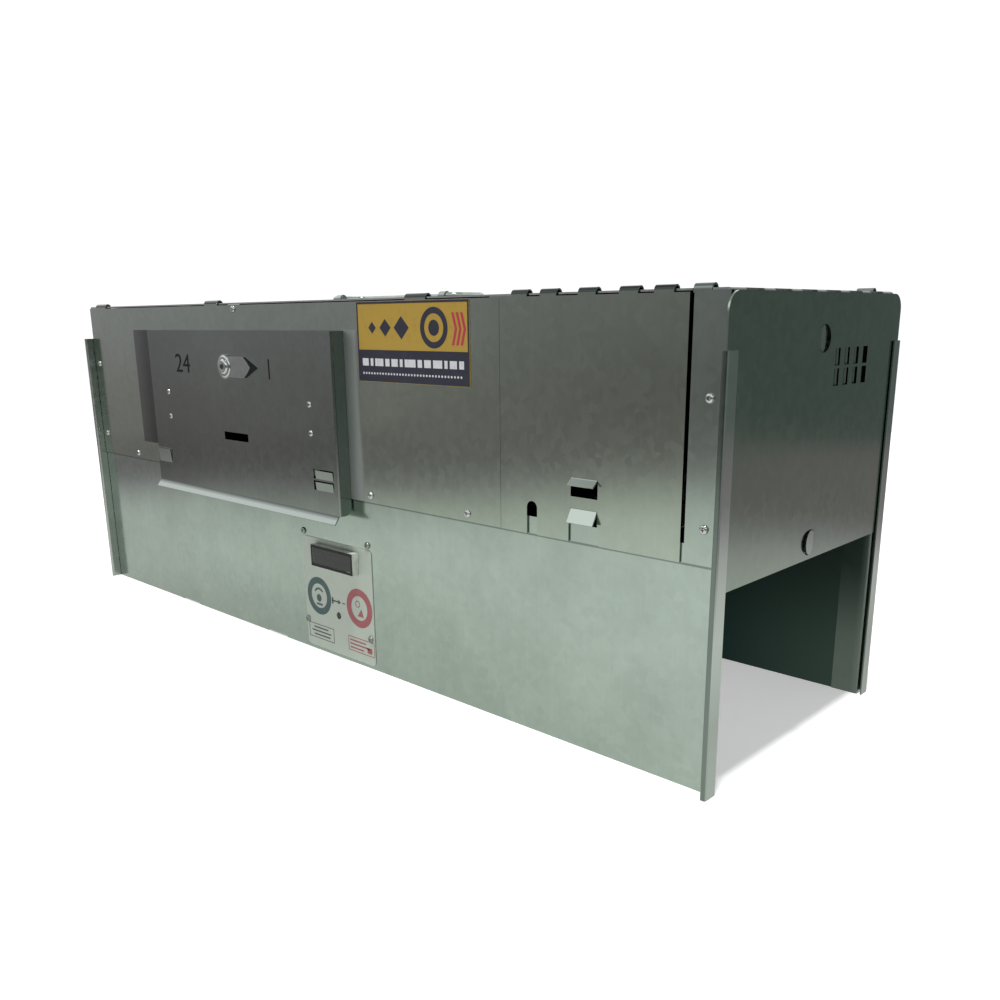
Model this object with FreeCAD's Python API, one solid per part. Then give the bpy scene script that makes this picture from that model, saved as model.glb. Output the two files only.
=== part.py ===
"""Electric rat trap: a folded steel tunnel that stands on the ground.

A rat walks in under the raised gate at either end and over the electrode plates.
The box above the tunnel holds the battery, the high voltage unit and the bait.
Millimetres, X along the tunnel, the front towards -Y, the ground at Z zero.
"""
import FreeCAD
import Part
import math
import os

Vector = FreeCAD.Vector
ALONG_X = Vector(1, 0, 0)
ALONG_Y = Vector(0, 1, 0)
ALONG_Z = Vector(0, 0, 1)
ORIGIN = Vector(0, 0, 0)

# Overall sizes
overall_length = 1000.0
body_width = 278.0
body_height = 380.0

# Sheet steel
panel_gauge = 1.5
cover_gauge = 1.2
bend_radius = 1.0

# Clearances
moving_gap = 0.3
running_gap = 0.05
edge_gap = 0.5
cut_overrun = 5.0

# Guide posts at the four corners
post_top_drop = 42.0
post_gauge = 1.2
post_stand_out = 11.5
post_box_width = 6.5
post_lip_depth = 14.0
post_flange_width = 24.0

# Gates that slide in the guide posts
gate_gauge = 1.5
gate_lift = 163.5
left_gate_drop = 43.0
gate_top_drop = 2.0
gate_edge_gap = 0.9
gate_corner_radius = 14.0
gate_tab_diameter = 22.0
gate_tab_slit = 0.7
gate_tab_hinge_share = 0.62
gate_upper_tab_drop = 35.0
gate_lower_tab_rise = 14.5
gate_upper_tab_angle = 6.5
gate_lower_tab_angle = 7.5
grille_columns = 4
grille_rows = 2
grille_slot_width = 9.0
grille_slot_height = 14.0
grille_column_pitch = 17.7
grille_row_pitch = 16.4
grille_start = 26.0
grille_drop = 50.0

# Side panels
panel_sill = 197.0
ear_width = 29.0
stile_width = 25.0
shelf_tab_width = 40.0
shelf_tab_depth = 20.0

# Tunnel roof and the ends of the roof sheet
end_wall_bottom = 166.0
end_wall_side_gap = 0.5
end_flange_depth = 16.0
tunnel_roof_flange = 12.0
stitch_count = 6
stitch_pitch = 42.0
stitch_length = 26.0
stitch_depth = 3.0
peep_hole_diameter = 24.0
vent_width = 24.0
vent_height = 39.0

# Hooked fingers that hold the covers on the edge of the roof
hook_bore_radius = 2.8
hook_strip_width = 3.8
hook_end_angle = -50.0
hook_slot_gap = 0.6
hook_top_drop = 2.5
cover_hook_width = 28.0
cover_hook_shares = [0.0434, 0.4089, 0.8639]
ear_hook_width = 15.0
ear_hook_inset = 22.5
rear_hook_count = 5

# Front cover, left of the hatch
cover_bottom = 182.0
split_gap = 0.8
access_left_inset = 24.0
access_right_inset = 23.0
access_sill = 203.0
access_top_drop = 45.0
access_corner = 6.0
roof_tab_width = 24.0
roof_tab_height = 14.0

# Hatch, right of the front cover
hatch_width = 184.0
hatch_ear_gap = 2.5
hatch_stand_off = 0.5
hatch_hook_width = 17.0
hatch_hook_inner_pitch = 39.0
hatch_hook_outer_pitch = 70.0
key_slot_offset = 36.5
key_slot_width = 11.5
key_slot_top = 210.6
latch_offset = 76.5
latch_width = 31.5
latch_notch_top = 197.0
latch_window_bottom = 220.0
latch_window_top = 230.5
latch_window_inset = 2.0
awning_rise = 5.0
awning_reach = 6.0
pull_tab_root = 210.5
pull_tab_reach = 6.0
pull_tab_drop = 11.0

# Door cover over the access window
door_end_distance = 185.5
door_emblem_distance = 23.0
door_bottom = 165.0
door_top_drop = 30.0
door_stand_out = 16.5
door_wing_width = 63.0
door_wing_bottom = 207.0
door_lip_reach = 6.0
door_lip_drop = 8.0
door_flange_corner = 8.0
door_lid_clearance = 3.0
door_window_width = 34.0
door_window_bottom = 189.0
door_window_height = 22.0
door_window_inset = 8.0
door_window_bar = 2.0
door_flap_slit = 4.0
door_flap_gap = 1.2
door_flap_angle = 6.0
door_slot_length = 49.0
door_slot_height = 9.0
door_slot_place_share = 0.5027
door_slot_level_share = 0.3676
door_hook_width = 20.0
door_hook_inset = 42.0
door_hook_top_share = 0.592
door_hook_reach_down = 13.0
rivet_level_shares = [0.85, 0.512]
rivet_shank_radius = 1.6
rivet_head_radius = 3.2
rivet_head_height = 1.6

# Setting pointer on the door cover
pointer_place_share = 0.47594
pointer_drop = 39.0
pointer_head_radius = 14.0
pointer_half_height = 11.5
pointer_shoulder = 44.0
pointer_tip = 69.0
pointer_gauge = 2.0
tongue_length = 30.0
tongue_width = 14.0
tongue_gauge = 1.5
pivot_shank_radius = 3.0
pivot_head_radius = 9.0
pivot_head_height = 3.2
pivot_nut_width = 10.0
pivot_nut_height = 5.0

# Screws
screw_shank_radius = 1.9
screw_head_radius = 3.8
screw_head_height = 2.2
screw_length = 8.0
cover_screw_rise = 7.0
cover_screw_shares = [0.129, 0.7667, 0.9456]
top_screw_share = 0.4699
top_screw_drop = 7.0
post_screw_rise = 27.6
post_screw_drop = 33.2
post_screw_inset = 12.5

# Emblem plate
emblem_inset = 35.0
emblem_width = 154.0
emblem_height = 74.5
emblem_top_drop = 3.0
emblem_thickness = 0.6
emblem_corner = 1.5

# Label plate and what it frames
label_left = -26.0
label_right = 93.0
label_bottom = 4.0
label_top = 130.5
label_thickness = 0.8
label_corner = 5.0
label_screw_left = -24.0
label_screw_right = 87.0
label_screw_low = 33.5
label_screw_high = 135.5
display_left = -0.6
display_right = 71.4
display_bottom = 101.5
display_top = 125.0
display_stand_out = 8.0
display_border = 3.0
display_glass = 1.5
display_lens_drop = 0.4
button_place = 33.0
button_level = 48.5
button_radius = 3.5
button_hole_gap = 0.5
button_recess = 0.4
button_collar_radius = 5.0
button_collar_height = 1.2
button_travel = 2.0
switch_size = 14.0

# Control board and its cover in the tunnel
board_margin = 6.0
board_thickness = 1.6
spacer_length = 9.0
spacer_radius = 4.0
nut_width = 7.0
nut_height = 3.2
box_depth = 34.0
box_gauge = 1.0
box_margin = 4.0
box_flange = 9.0
box_corner = 6.0

# Electrode bed in the tunnel
bed_left = -330.0
bed_right = -50.0
bed_thickness = 10.0
bed_side_gap = 0.3
plate_count = 4
plate_width = 50.0
plate_gauge = 1.0
plate_end_margin = 12.0
plate_screw_radius = 2.0
plate_screw_head = 4.0
plate_screw_rise = 1.2
plate_screw_length = 6.0

# Battery and high voltage unit in the left bay
battery_length = 151.0
battery_depth = 65.0
battery_height = 94.0
battery_place = -210.0
battery_corner = 3.0
terminal_width = 6.0
terminal_rise = 6.0
terminal_gauge = 1.0
strap_width = 20.0
strap_gauge = 1.0
strap_foot = 16.0
unit_length = 120.0
unit_depth = 90.0
unit_height = 62.0
unit_place = -30.0
unit_corner = 4.0
unit_flange = 14.0
unit_flange_thickness = 3.0
post_terminal_radius = 4.0
post_terminal_rise = 10.0

# Bait tray in the right bay
tray_left_gap = 22.0
tray_right_gap = 10.0
tray_half_depth = 118.0
tray_height = 32.0
tray_gauge = 1.0
scent_slot_count = 6
scent_slot_width = 4.0
scent_slot_length = 46.0
scent_slot_pitch = 22.0
bulkhead_flange = 12.0

# Carrying handle on the roof
handle_rod_radius = 3.5
handle_half_length = 103.0
handle_half_depth = 22.0
handle_bend_radius = 9.0
handle_pin_length = 22.0
saddle_width = 9.0
saddle_foot = 11.0
saddle_gauge = 1.2

# Places that follow from the sizes
half_length = overall_length / 2
body_end = half_length - post_box_width
front = -body_width / 2
inner_front = front + panel_gauge
roof_underside = body_height - panel_gauge
cover_front = front - cover_gauge
post_height = body_height - post_top_drop
post_screw_levels = [cover_bottom + post_screw_rise, post_height - post_screw_drop]
post_front = front - post_stand_out
post_web = body_end + bend_radius
channel_start = post_web + post_gauge
channel_end = half_length - post_gauge
gate_inner_face = (channel_start + channel_end - gate_gauge) / 2
gate_half_width = -post_front - post_gauge - gate_edge_gap
gate_top = body_height - gate_top_drop
end_wall_half_width = -inner_front - post_gauge - end_wall_side_gap
tunnel_roof_bottom = end_wall_bottom + panel_gauge
tunnel_roof_top = tunnel_roof_bottom + cover_gauge
hook_axis_level = body_height - panel_gauge / 2
cover_top = body_height - hook_top_drop
hatch_right = body_end - ear_width - hatch_ear_gap
cover_split = hatch_right - hatch_width
cover_width = cover_split + body_end
cover_hook_places = [share * cover_width - body_end for share in cover_hook_shares]
cover_screw_places = [share * cover_width - body_end for share in cover_screw_shares]
cover_screw_level = cover_bottom + cover_screw_rise
top_screw_place = top_screw_share * cover_width - body_end
top_screw_level = body_height - top_screw_drop
emblem_right = cover_split - emblem_inset
emblem_left = emblem_right - emblem_width
emblem_top = body_height - emblem_top_drop
emblem_bottom = emblem_top - emblem_height
hatch_left = cover_split + split_gap / 2
hatch_middle = (hatch_left + hatch_right) / 2
hatch_front = front - hatch_stand_off - cover_gauge
key_slot_place = cover_split + key_slot_offset
latch_left = cover_split + latch_offset
latch_right = latch_left + latch_width
tray_left = cover_split + tray_left_gap
tray_right = hatch_right - tray_right_gap
door_left = door_end_distance - body_end
door_right = emblem_left - door_emblem_distance
door_top = body_height - door_top_drop
door_width = door_right - door_left
door_slot_centre = door_left + door_slot_place_share * door_width
door_slot_level = door_bottom + door_slot_level_share * (door_top - door_bottom)
door_hook_places = [door_left + door_hook_inset, door_right - door_hook_inset]
door_hook_top = access_sill + door_hook_top_share * (door_top - access_sill)
rivet_levels = [access_sill + share * (door_hook_top - access_sill) for share in rivet_level_shares]
access_left = door_left + access_left_inset
access_right = door_right - access_right_inset
access_top = body_height - access_top_drop
pointer_pivot_x = door_left + pointer_place_share * door_width
pointer_pivot_z = door_top - pointer_drop
door_front = front - door_stand_out
door_back = cover_front - moving_gap
tongue_face = front + moving_gap
label_front = front - label_thickness
handle_level = body_height + moving_gap + handle_rod_radius


def block(x0, x1, y0, y1, z0, z1):
    """Plain block between six limits."""
    return Part.makeBox(x1 - x0, y1 - y0, z1 - z0, Vector(x0, y0, z0))


def disc(radius, height, base, axis):
    return Part.makeCylinder(radius, height, base, axis)


def joined(shapes):
    """One clean solid from pieces that touch or cross."""
    return shapes[0].multiFuse(shapes[1:]).removeSplitter()


def in_plane(axis, u, v, w):
    """Point from two coordinates in a plane and one along its axis."""
    if axis == ALONG_X:
        return Vector(w, u, v)
    if axis == ALONG_Y:
        return Vector(u, w, v)
    return Vector(u, v, w)


def path_runs(points, radius):
    """Straight runs of a path and the round bend at each of its corners."""
    runs = []
    start = points[0]
    for before, corner, after in zip(points, points[1:], points[2:]):
        inward = unit(before, corner)
        outward = unit(corner, after)
        turn = math.atan2(cross(inward, outward), dot(inward, outward))
        reach = radius * math.tan(abs(turn) / 2)
        bend_start = along(corner, inward, -reach)
        bend_end = along(corner, outward, reach)
        side = math.copysign(1, turn)
        centre = along(bend_start, (-inward[1] * side, inward[0] * side), radius)
        runs.append(("line", start, bend_start, inward))
        runs.append(("bend", centre, side, inward, outward))
        start = bend_end
    runs.append(("line", start, points[-1], unit(points[-2], points[-1])))
    return runs


def unit(a, b):
    length = math.hypot(b[0] - a[0], b[1] - a[1])
    return ((b[0] - a[0]) / length, (b[1] - a[1]) / length)


def along(point, direction, distance):
    return (point[0] + direction[0] * distance, point[1] + direction[1] * distance)


def cross(a, b):
    return a[0] * b[1] - a[1] * b[0]


def dot(a, b):
    return a[0] * b[0] + a[1] * b[1]


def left_of(direction):
    return (-direction[1], direction[0])


def offset_edges(runs, radius, offset, axis, level):
    """Edges of a path moved sideways, from its start to its end."""
    edges = []
    for run in runs:
        if run[0] == "line":
            start = along(run[1], left_of(run[3]), offset)
            end = along(run[2], left_of(run[3]), offset)
            edges.append(Part.LineSegment(in_plane(axis, *start, level), in_plane(axis, *end, level)))
            continue
        centre, side, inward, outward = run[1:]
        reach = radius - offset * side
        spokes = [(d[1] * side, -d[0] * side) for d in (inward, outward)]
        middle = unit((0, 0), (spokes[0][0] + spokes[1][0], spokes[0][1] + spokes[1][1]))
        ends = [in_plane(axis, *along(centre, spoke, reach), level) for spoke in spokes]
        edges.append(Part.Arc(ends[0], in_plane(axis, *along(centre, middle, reach), level), ends[1]))
    return [edge.toShape() for edge in edges]


def folded_sheet(points, gauge, axis, start, end):
    """Sheet drawn along an axis, folded where the line through its middle turns."""
    radius = bend_radius + gauge / 2
    runs = path_runs(points, radius)
    left = offset_edges(runs, radius, gauge / 2, axis, start)
    right = offset_edges(runs, radius, -gauge / 2, axis, start)
    caps = [Part.makeLine(left[0].firstVertex().Point, right[0].firstVertex().Point),
            Part.makeLine(left[-1].lastVertex().Point, right[-1].lastVertex().Point)]
    edges = Part.sortEdges(left + right + caps)[0]
    return Part.Face(Part.Wire(edges)).extrude(axis * (end - start))


def round_edges(shape, axis, radius, wanted=None):
    """Shape with the edges along one axis rounded, all of them or the wanted ones."""
    chosen = []
    for edge in shape.Edges:
        along_axis = abs(edge.tangentAt(edge.FirstParameter).dot(axis)) > math.cos(math.radians(1))
        if along_axis and (wanted is None or wanted(edge.CenterOfMass)):
            chosen.append(edge)
    return shape.makeFillet(radius, chosen)


def turned_end_for_end(shape):
    """The same piece at the other end of the tunnel."""
    turned = shape.copy()
    turned.rotate(ORIGIN, ALONG_Z, 180)
    return turned


def mirrored(shape, axis):
    return shape.mirror(ORIGIN, axis)


def dome(radius, height, base, way):
    """Shallow round head, flat at its base and curved the way given."""
    sphere_radius = (radius ** 2 + height ** 2) / (2 * height)
    rim = math.degrees(math.asin((sphere_radius - height) / sphere_radius))
    centre = base - way * (sphere_radius - height)
    return Part.makeSphere(sphere_radius, centre, way, rim, 90, 360)


def pan_screw(x, face, z, length):
    """Screw with a domed head on a front face, its shank going towards the rear."""
    base = Vector(x, face, z)
    shank = disc(screw_shank_radius, length, base, ALONG_Y)
    return joined([dome(screw_head_radius, screw_head_height, base, -ALONG_Y), shank])


def wall_hole(x, z, radius, side):
    """Cutter for a round hole through the wall on one side of the body."""
    depth = post_stand_out + spacer_length
    return disc(radius, 2 * depth, Vector(x, side * (-front + depth), z), ALONG_Y * -side)


def hook_axis(outer_face, gauge):
    return outer_face + gauge + hook_bore_radius


def hook(x_middle, width, outer_face, gauge, root):
    """Finger that rises from a sheet and curls round the edge strip of the roof."""
    axis_y = hook_axis(outer_face, gauge)
    outer = hook_bore_radius + gauge

    def spot(radius, degrees):
        angle = math.radians(degrees)
        return Vector(x_middle - width / 2, axis_y + radius * math.cos(angle),
                      hook_axis_level + radius * math.sin(angle))

    def foot(radius):
        return Vector(x_middle - width / 2, axis_y - radius, root)

    halfway = (180 + hook_end_angle) / 2
    edges = [Part.makeLine(foot(outer), spot(outer, 180)),
             Part.Arc(spot(outer, 180), spot(outer, halfway), spot(outer, hook_end_angle)).toShape(),
             Part.makeLine(spot(outer, hook_end_angle), spot(hook_bore_radius, hook_end_angle)),
             Part.Arc(spot(hook_bore_radius, hook_end_angle), spot(hook_bore_radius, halfway),
                      spot(hook_bore_radius, 180)).toShape(),
             Part.makeLine(spot(hook_bore_radius, 180), foot(hook_bore_radius)),
             Part.makeLine(foot(hook_bore_radius), foot(outer))]
    return Part.Face(Part.Wire(edges)).extrude(ALONG_X * width)


def hook_cuts(x_middle, width, outer_face, gauge):
    """Notch and slot that leave the strip of roof edge inside a hook."""
    axis_y = hook_axis(outer_face, gauge)
    reach = width / 2 + edge_gap
    strip_front = axis_y - hook_strip_width / 2
    strip_back = axis_y + hook_strip_width / 2
    slot_back = axis_y + hook_bore_radius + gauge + hook_slot_gap
    notch = block(x_middle - reach, x_middle + reach, front - cut_overrun, strip_front,
                  roof_underside - cut_overrun, body_height + cut_overrun)
    slot = block(x_middle - reach, x_middle + reach, strip_back, slot_back,
                 roof_underside - cut_overrun, body_height + cut_overrun)
    return [notch, slot]


def rear_hook_places():
    last = body_end - ear_hook_inset
    step = 2 * last / (rear_hook_count - 1)
    return [-last + step * index for index in range(rear_hook_count)]


def hatch_hook_places():
    offsets = (-hatch_hook_outer_pitch, -hatch_hook_inner_pitch, 0,
               hatch_hook_inner_pitch, hatch_hook_outer_pitch)
    return [hatch_middle + offset for offset in offsets]


def post_screw_places():
    return [side * (body_end - post_screw_inset) for side in (-1, 1)]


def shelf_tab(x_middle):
    """Tab folded in from the bottom edge of a panel, which carries the electrode bed."""
    middle = front + panel_gauge / 2
    fold = [(middle, shelf_tab_depth), (middle, panel_gauge / 2),
            (front + shelf_tab_depth, panel_gauge / 2)]
    return folded_sheet(fold, panel_gauge, ALONG_X, x_middle - shelf_tab_width / 2,
                        x_middle + shelf_tab_width / 2)


def shelf_tab_places():
    return [bed_left + shelf_tab_width, bed_right - shelf_tab_width]


def plain_side_panel():
    """Flat side with shelf tabs at its foot and holes for the post screws."""
    plate = block(-body_end, body_end, front, inner_front, 0, roof_underside)
    for x in shelf_tab_places():
        half = shelf_tab_width / 2
        plate = plate.cut(block(x - half, x + half, front - cut_overrun, inner_front + cut_overrun,
                                -cut_overrun, shelf_tab_depth))
    plate = joined([plate] + [shelf_tab(x) for x in shelf_tab_places()])
    for x in post_screw_places():
        for z in post_screw_levels:
            plate = plate.cut(wall_hole(x, z, screw_shank_radius + running_gap, -1))
    return plate


def make_front_side_panel():
    """Panel with two windows behind the covers, between full height ears and a stile."""
    panel = plain_side_panel()
    stile_left = cover_split - stile_width / 2
    stile_right = cover_split + stile_width / 2
    ear = body_end - ear_width
    for left, right in ((-ear, stile_left), (stile_right, ear)):
        panel = panel.cut(block(left, right, front - cut_overrun, inner_front + cut_overrun,
                                panel_sill, body_height))
    root = roof_underside - panel_gauge
    panel = joined([panel, hook(body_end - ear_hook_inset, ear_hook_width, front, panel_gauge, root)])
    for x in cover_screw_places:
        panel = panel.cut(wall_hole(x, cover_screw_level, screw_shank_radius + running_gap, -1))
    for x, z in label_screw_spots():
        panel = panel.cut(wall_hole(x, z, screw_shank_radius + running_gap, -1))
    panel = panel.cut(display_opening())
    return panel.cut(wall_hole(button_place, button_level, button_radius + button_hole_gap, -1))


def make_rear_side_panel():
    """Unbroken rear panel, hooked over the roof along its top edge."""
    root = roof_underside - panel_gauge
    hooks = [hook(x, ear_hook_width, front, panel_gauge, root) for x in rear_hook_places()]
    return mirrored(joined([plain_side_panel()] + hooks), ALONG_Y)


def roof_profile():
    end = body_end - panel_gauge / 2
    low = end_wall_bottom + panel_gauge / 2
    high = body_height - panel_gauge / 2
    flange = body_end - end_flange_depth
    return [(-flange, low), (-end, low), (-end, high), (end, high), (end, low), (flange, low)]


def stitch_cuts():
    """Slots along the fold at one end of the roof, where the sheet is bent by hand."""
    cuts = []
    for index in range(stitch_count):
        middle = (index - (stitch_count - 1) / 2) * stitch_pitch
        cuts.append(block(body_end - stitch_depth, body_end + cut_overrun,
                          middle - stitch_length / 2, middle + stitch_length / 2,
                          body_height - stitch_depth, body_height + cut_overrun))
    return cuts


def end_wall_cuts():
    """Peep hole and vent in the end wall, in line with those of the raised gate."""
    peep = disc(peep_hole_diameter / 2, 2 * cut_overrun,
                Vector(body_end - cut_overrun, 0, gate_top - gate_upper_tab_drop), ALONG_X)
    middle = grille_start + (grille_columns - 1) * grille_column_pitch + grille_slot_width / 2
    level = gate_top - grille_drop - grille_row_pitch / 2
    vent = block(body_end - cut_overrun, body_end + cut_overrun,
                 middle - vent_width / 2, middle + vent_width / 2,
                 level - vent_height / 2, level + vent_height / 2)
    return [peep, vent]


def make_roof_sheet():
    """Roof with both end walls folded down from it and a flange under each."""
    sheet = folded_sheet(roof_profile(), panel_gauge, ALONG_Y, front, -front)
    end_cuts = stitch_cuts() + end_wall_cuts()
    cuts = end_cuts + [turned_end_for_end(cut) for cut in end_cuts]
    for side in (-1, 1):
        reach = sorted((side * end_wall_half_width, side * (-front + cut_overrun)))
        cuts.append(block(-half_length, half_length, reach[0], reach[1], 0, roof_underside))
    for x in cover_hook_places:
        cuts += hook_cuts(x, cover_hook_width, cover_front, cover_gauge)
    for x in hatch_hook_places():
        cuts += hook_cuts(x, hatch_hook_width, hatch_front, cover_gauge)
    cuts += hook_cuts(body_end - ear_hook_inset, ear_hook_width, front, panel_gauge)
    for x in rear_hook_places():
        for cut in hook_cuts(x, ear_hook_width, front, panel_gauge):
            cuts.append(mirrored(cut, ALONG_Y))
    tab = roof_tab()
    sheet = joined([sheet.cut(Part.makeCompound(cuts)), tab])
    return sheet.cut(wall_hole(top_screw_place, top_screw_level,
                               screw_shank_radius + running_gap, -1))


def roof_tab():
    """Tab folded down from the front edge of the roof, for the top screw of the cover."""
    middle = front + panel_gauge / 2
    high = body_height - panel_gauge / 2
    fold = [(middle, body_height - roof_tab_height), (middle, high), (front + cut_overrun, high)]
    return folded_sheet(fold, panel_gauge, ALONG_X, top_screw_place - roof_tab_width / 2,
                        top_screw_place + roof_tab_width / 2)


def make_tunnel_roof():
    """Tray over the tunnel, which the electrics and the bait stand on."""
    side = -inner_front - cover_gauge / 2
    middle = tunnel_roof_bottom + cover_gauge / 2
    rise = tunnel_roof_bottom + tunnel_roof_flange
    fold = [(-side, rise), (-side, middle), (side, middle), (side, rise)]
    end = body_end - panel_gauge - bend_radius - edge_gap
    tray = folded_sheet(fold, cover_gauge, ALONG_X, -end, end)
    clear = body_end - post_flange_width - edge_gap
    for x_side in (-1, 1):
        for y_side in (-1, 1):
            xs = sorted((x_side * clear, x_side * half_length))
            ys = sorted((y_side * end_wall_half_width, y_side * -front))
            tray = tray.cut(block(xs[0], xs[1], ys[0], ys[1], 0, body_height))
    return tray.cut(Part.makeCompound(scent_slots(tunnel_roof_bottom - cut_overrun)))


def scent_slots(bottom):
    """Row of slots under the bait, through which its smell falls into the tunnel."""
    middle = (tray_left + tray_right) / 2
    slots = []
    for index in range(scent_slot_count):
        x = middle + (index - (scent_slot_count - 1) / 2) * scent_slot_pitch
        slots.append(block(x - scent_slot_width / 2, x + scent_slot_width / 2,
                           -scent_slot_length / 2, scent_slot_length / 2,
                           bottom, bottom + 2 * cut_overrun))
    return slots


def make_bulkhead():
    """Folded wall between the electrics and the bait bay."""
    side = cover_split + cover_gauge / 2
    foot = tunnel_roof_top + cover_gauge / 2
    head = roof_underside - cover_gauge / 2
    fold = [(side - bulkhead_flange, foot), (side, foot), (side, head), (side - bulkhead_flange, head)]
    reach = -inner_front - cover_gauge - bend_radius - edge_gap
    return folded_sheet(fold, cover_gauge, ALONG_Y, -reach, reach)


def make_guide_post():
    """Front right post: a flange inside the panel, and a channel for the gate's edge."""
    flange_line = inner_front + post_gauge / 2
    web_line = post_web + post_gauge / 2
    outer_line = post_front + post_gauge / 2
    face_line = half_length - post_gauge / 2
    fold = [(body_end - post_flange_width, flange_line), (web_line, flange_line),
            (web_line, outer_line), (face_line, outer_line), (face_line, post_front + post_lip_depth)]
    post = folded_sheet(fold, post_gauge, ALONG_Z, 0, post_height)
    for z in post_screw_levels:
        post = post.cut(wall_hole(body_end - post_screw_inset, z, screw_shank_radius + running_gap, -1))
    return post


def bent_tab(level, hinge_side, out, degrees):
    """Round tab of the gate, cut free but for one side and pushed in or out."""
    radius = gate_tab_diameter / 2
    hinge = hinge_side * radius * gate_tab_hinge_share
    base = Vector(gate_inner_face, 0, level)
    keep = sorted((hinge, -hinge_side * gate_tab_diameter))
    zone = block(gate_inner_face - cut_overrun, gate_inner_face + cut_overrun, keep[0], keep[1],
                 level - gate_tab_diameter, level + gate_tab_diameter)
    hole = disc(radius, gate_gauge + 2 * cut_overrun, base - ALONG_X * cut_overrun, ALONG_X).common(zone)
    flap = disc(radius - gate_tab_slit, gate_gauge, base, ALONG_X).common(zone)
    hinge_point = Vector(gate_inner_face + gate_gauge / 2, hinge, level)
    flap.rotate(hinge_point, ALONG_Z, hinge_side * out * degrees)
    return hole, flap


def make_gate():
    """Right gate, raised, with its round tabs and its grille."""
    plate = block(gate_inner_face, gate_inner_face + gate_gauge, -gate_half_width, gate_half_width,
                  gate_lift, gate_top)
    plate = round_edges(plate, ALONG_X, gate_corner_radius, lambda spot: spot.z > gate_top - cut_overrun)
    for row in range(grille_rows):
        for column in range(grille_columns):
            y = grille_start + column * grille_column_pitch
            z = gate_top - grille_drop - row * grille_row_pitch
            plate = plate.cut(block(gate_inner_face - cut_overrun, gate_inner_face + cut_overrun,
                                    y - grille_slot_width / 2, y + grille_slot_width / 2,
                                    z - grille_slot_height / 2, z + grille_slot_height / 2))
    tabs = ((gate_top - gate_upper_tab_drop, -1, -1, gate_upper_tab_angle),
            (gate_lift + gate_lower_tab_rise, 1, 1, gate_lower_tab_angle))
    for level, hinge_side, out, degrees in tabs:
        hole, flap = bent_tab(level, hinge_side, out, degrees)
        plate = joined([plate.cut(hole), flap])
    return plate


def make_front_cover():
    """Cover hooked over the roof, with the access window that the door cover hides."""
    right = cover_split - split_gap / 2
    plate = block(-body_end, right, cover_front, front, cover_bottom, cover_top)
    window = block(access_left, access_right, cover_front - cut_overrun, front + cut_overrun,
                   access_sill, access_top)
    plate = plate.cut(round_edges(window, ALONG_Y, access_corner))
    root = cover_top - cover_gauge
    hooks = [hook(x, cover_hook_width, cover_front, cover_gauge, root) for x in cover_hook_places]
    plate = joined([plate] + hooks)
    spots = [(x, cover_screw_level) for x in cover_screw_places] + [(top_screw_place, top_screw_level)]
    spots += [(min(post_screw_places()), z) for z in post_screw_levels]
    for x, z in spots:
        plate = plate.cut(wall_hole(x, z, screw_shank_radius + running_gap, -1))
    return plate


def hatch_flap(root_level, reach, drop, left, right):
    """Flap bent out of the hatch from a fold along its upper edge."""
    middle = hatch_front + cover_gauge / 2
    fold = [(middle, root_level + cover_gauge), (middle, root_level), (middle - reach, root_level - drop)]
    return folded_sheet(fold, cover_gauge, ALONG_X, left, right)


def make_hatch():
    """Hatch that hangs on five hooks, with its key slot, latch window and pull tab."""
    back = hatch_front + cover_gauge
    plate = block(hatch_left, hatch_right, hatch_front, back, cover_bottom, cover_top)
    near = hatch_front - cut_overrun
    far = back + cut_overrun
    slot_radius = key_slot_width / 2
    slot_eye = key_slot_top - slot_radius
    window_left = latch_left + latch_window_inset
    window_right = latch_right - latch_window_inset
    flap_gap = cover_gauge + bend_radius
    cuts = [block(key_slot_place - slot_radius, key_slot_place + slot_radius, near, far,
                  cover_bottom - cut_overrun, slot_eye),
            disc(slot_radius, far - near, Vector(key_slot_place, near, slot_eye), ALONG_Y),
            block(latch_left, latch_right, near, far, cover_bottom - cut_overrun, latch_notch_top),
            block(window_left, window_right, near, far, latch_window_bottom, latch_window_top + awning_rise),
            block(window_left, window_right, near, far, latch_notch_top - flap_gap, pull_tab_root)]
    plate = plate.cut(Part.makeCompound(cuts))
    flaps = [hatch_flap(latch_window_top + awning_rise - cover_gauge / 2, awning_reach, awning_rise,
                        window_left + edge_gap, window_right - edge_gap),
             hatch_flap(pull_tab_root - cover_gauge / 2, pull_tab_reach, pull_tab_drop,
                        window_left + edge_gap, window_right - edge_gap)]
    root = cover_top - cover_gauge
    hooks = [hook(x, hatch_hook_width, hatch_front, cover_gauge, root) for x in hatch_hook_places()]
    return joined([plate] + flaps + hooks)


def door_windows():
    """Openings in the lower corners of the door cover: one at the left, two at the right."""
    middle = door_window_bottom + door_window_height / 2
    right = door_right - door_window_inset
    left = right - door_window_width
    return [(door_left, door_left + door_window_width, door_window_bottom, door_wing_bottom),
            (left, right, door_window_bottom, middle - door_window_bar / 2),
            (left, right, middle + door_window_bar / 2, door_window_bottom + door_window_height)]


def window_flap(left, right, bottom, top):
    """Flap left standing on the sill of a corner window, bent a little outward."""
    flap = block(left + door_flap_slit, right - edge_gap, door_front, door_front + cover_gauge,
                 bottom, top - door_flap_gap)
    flap.rotate(Vector(left, door_front + cover_gauge / 2, bottom), ALONG_X, door_flap_angle)
    return flap


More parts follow.
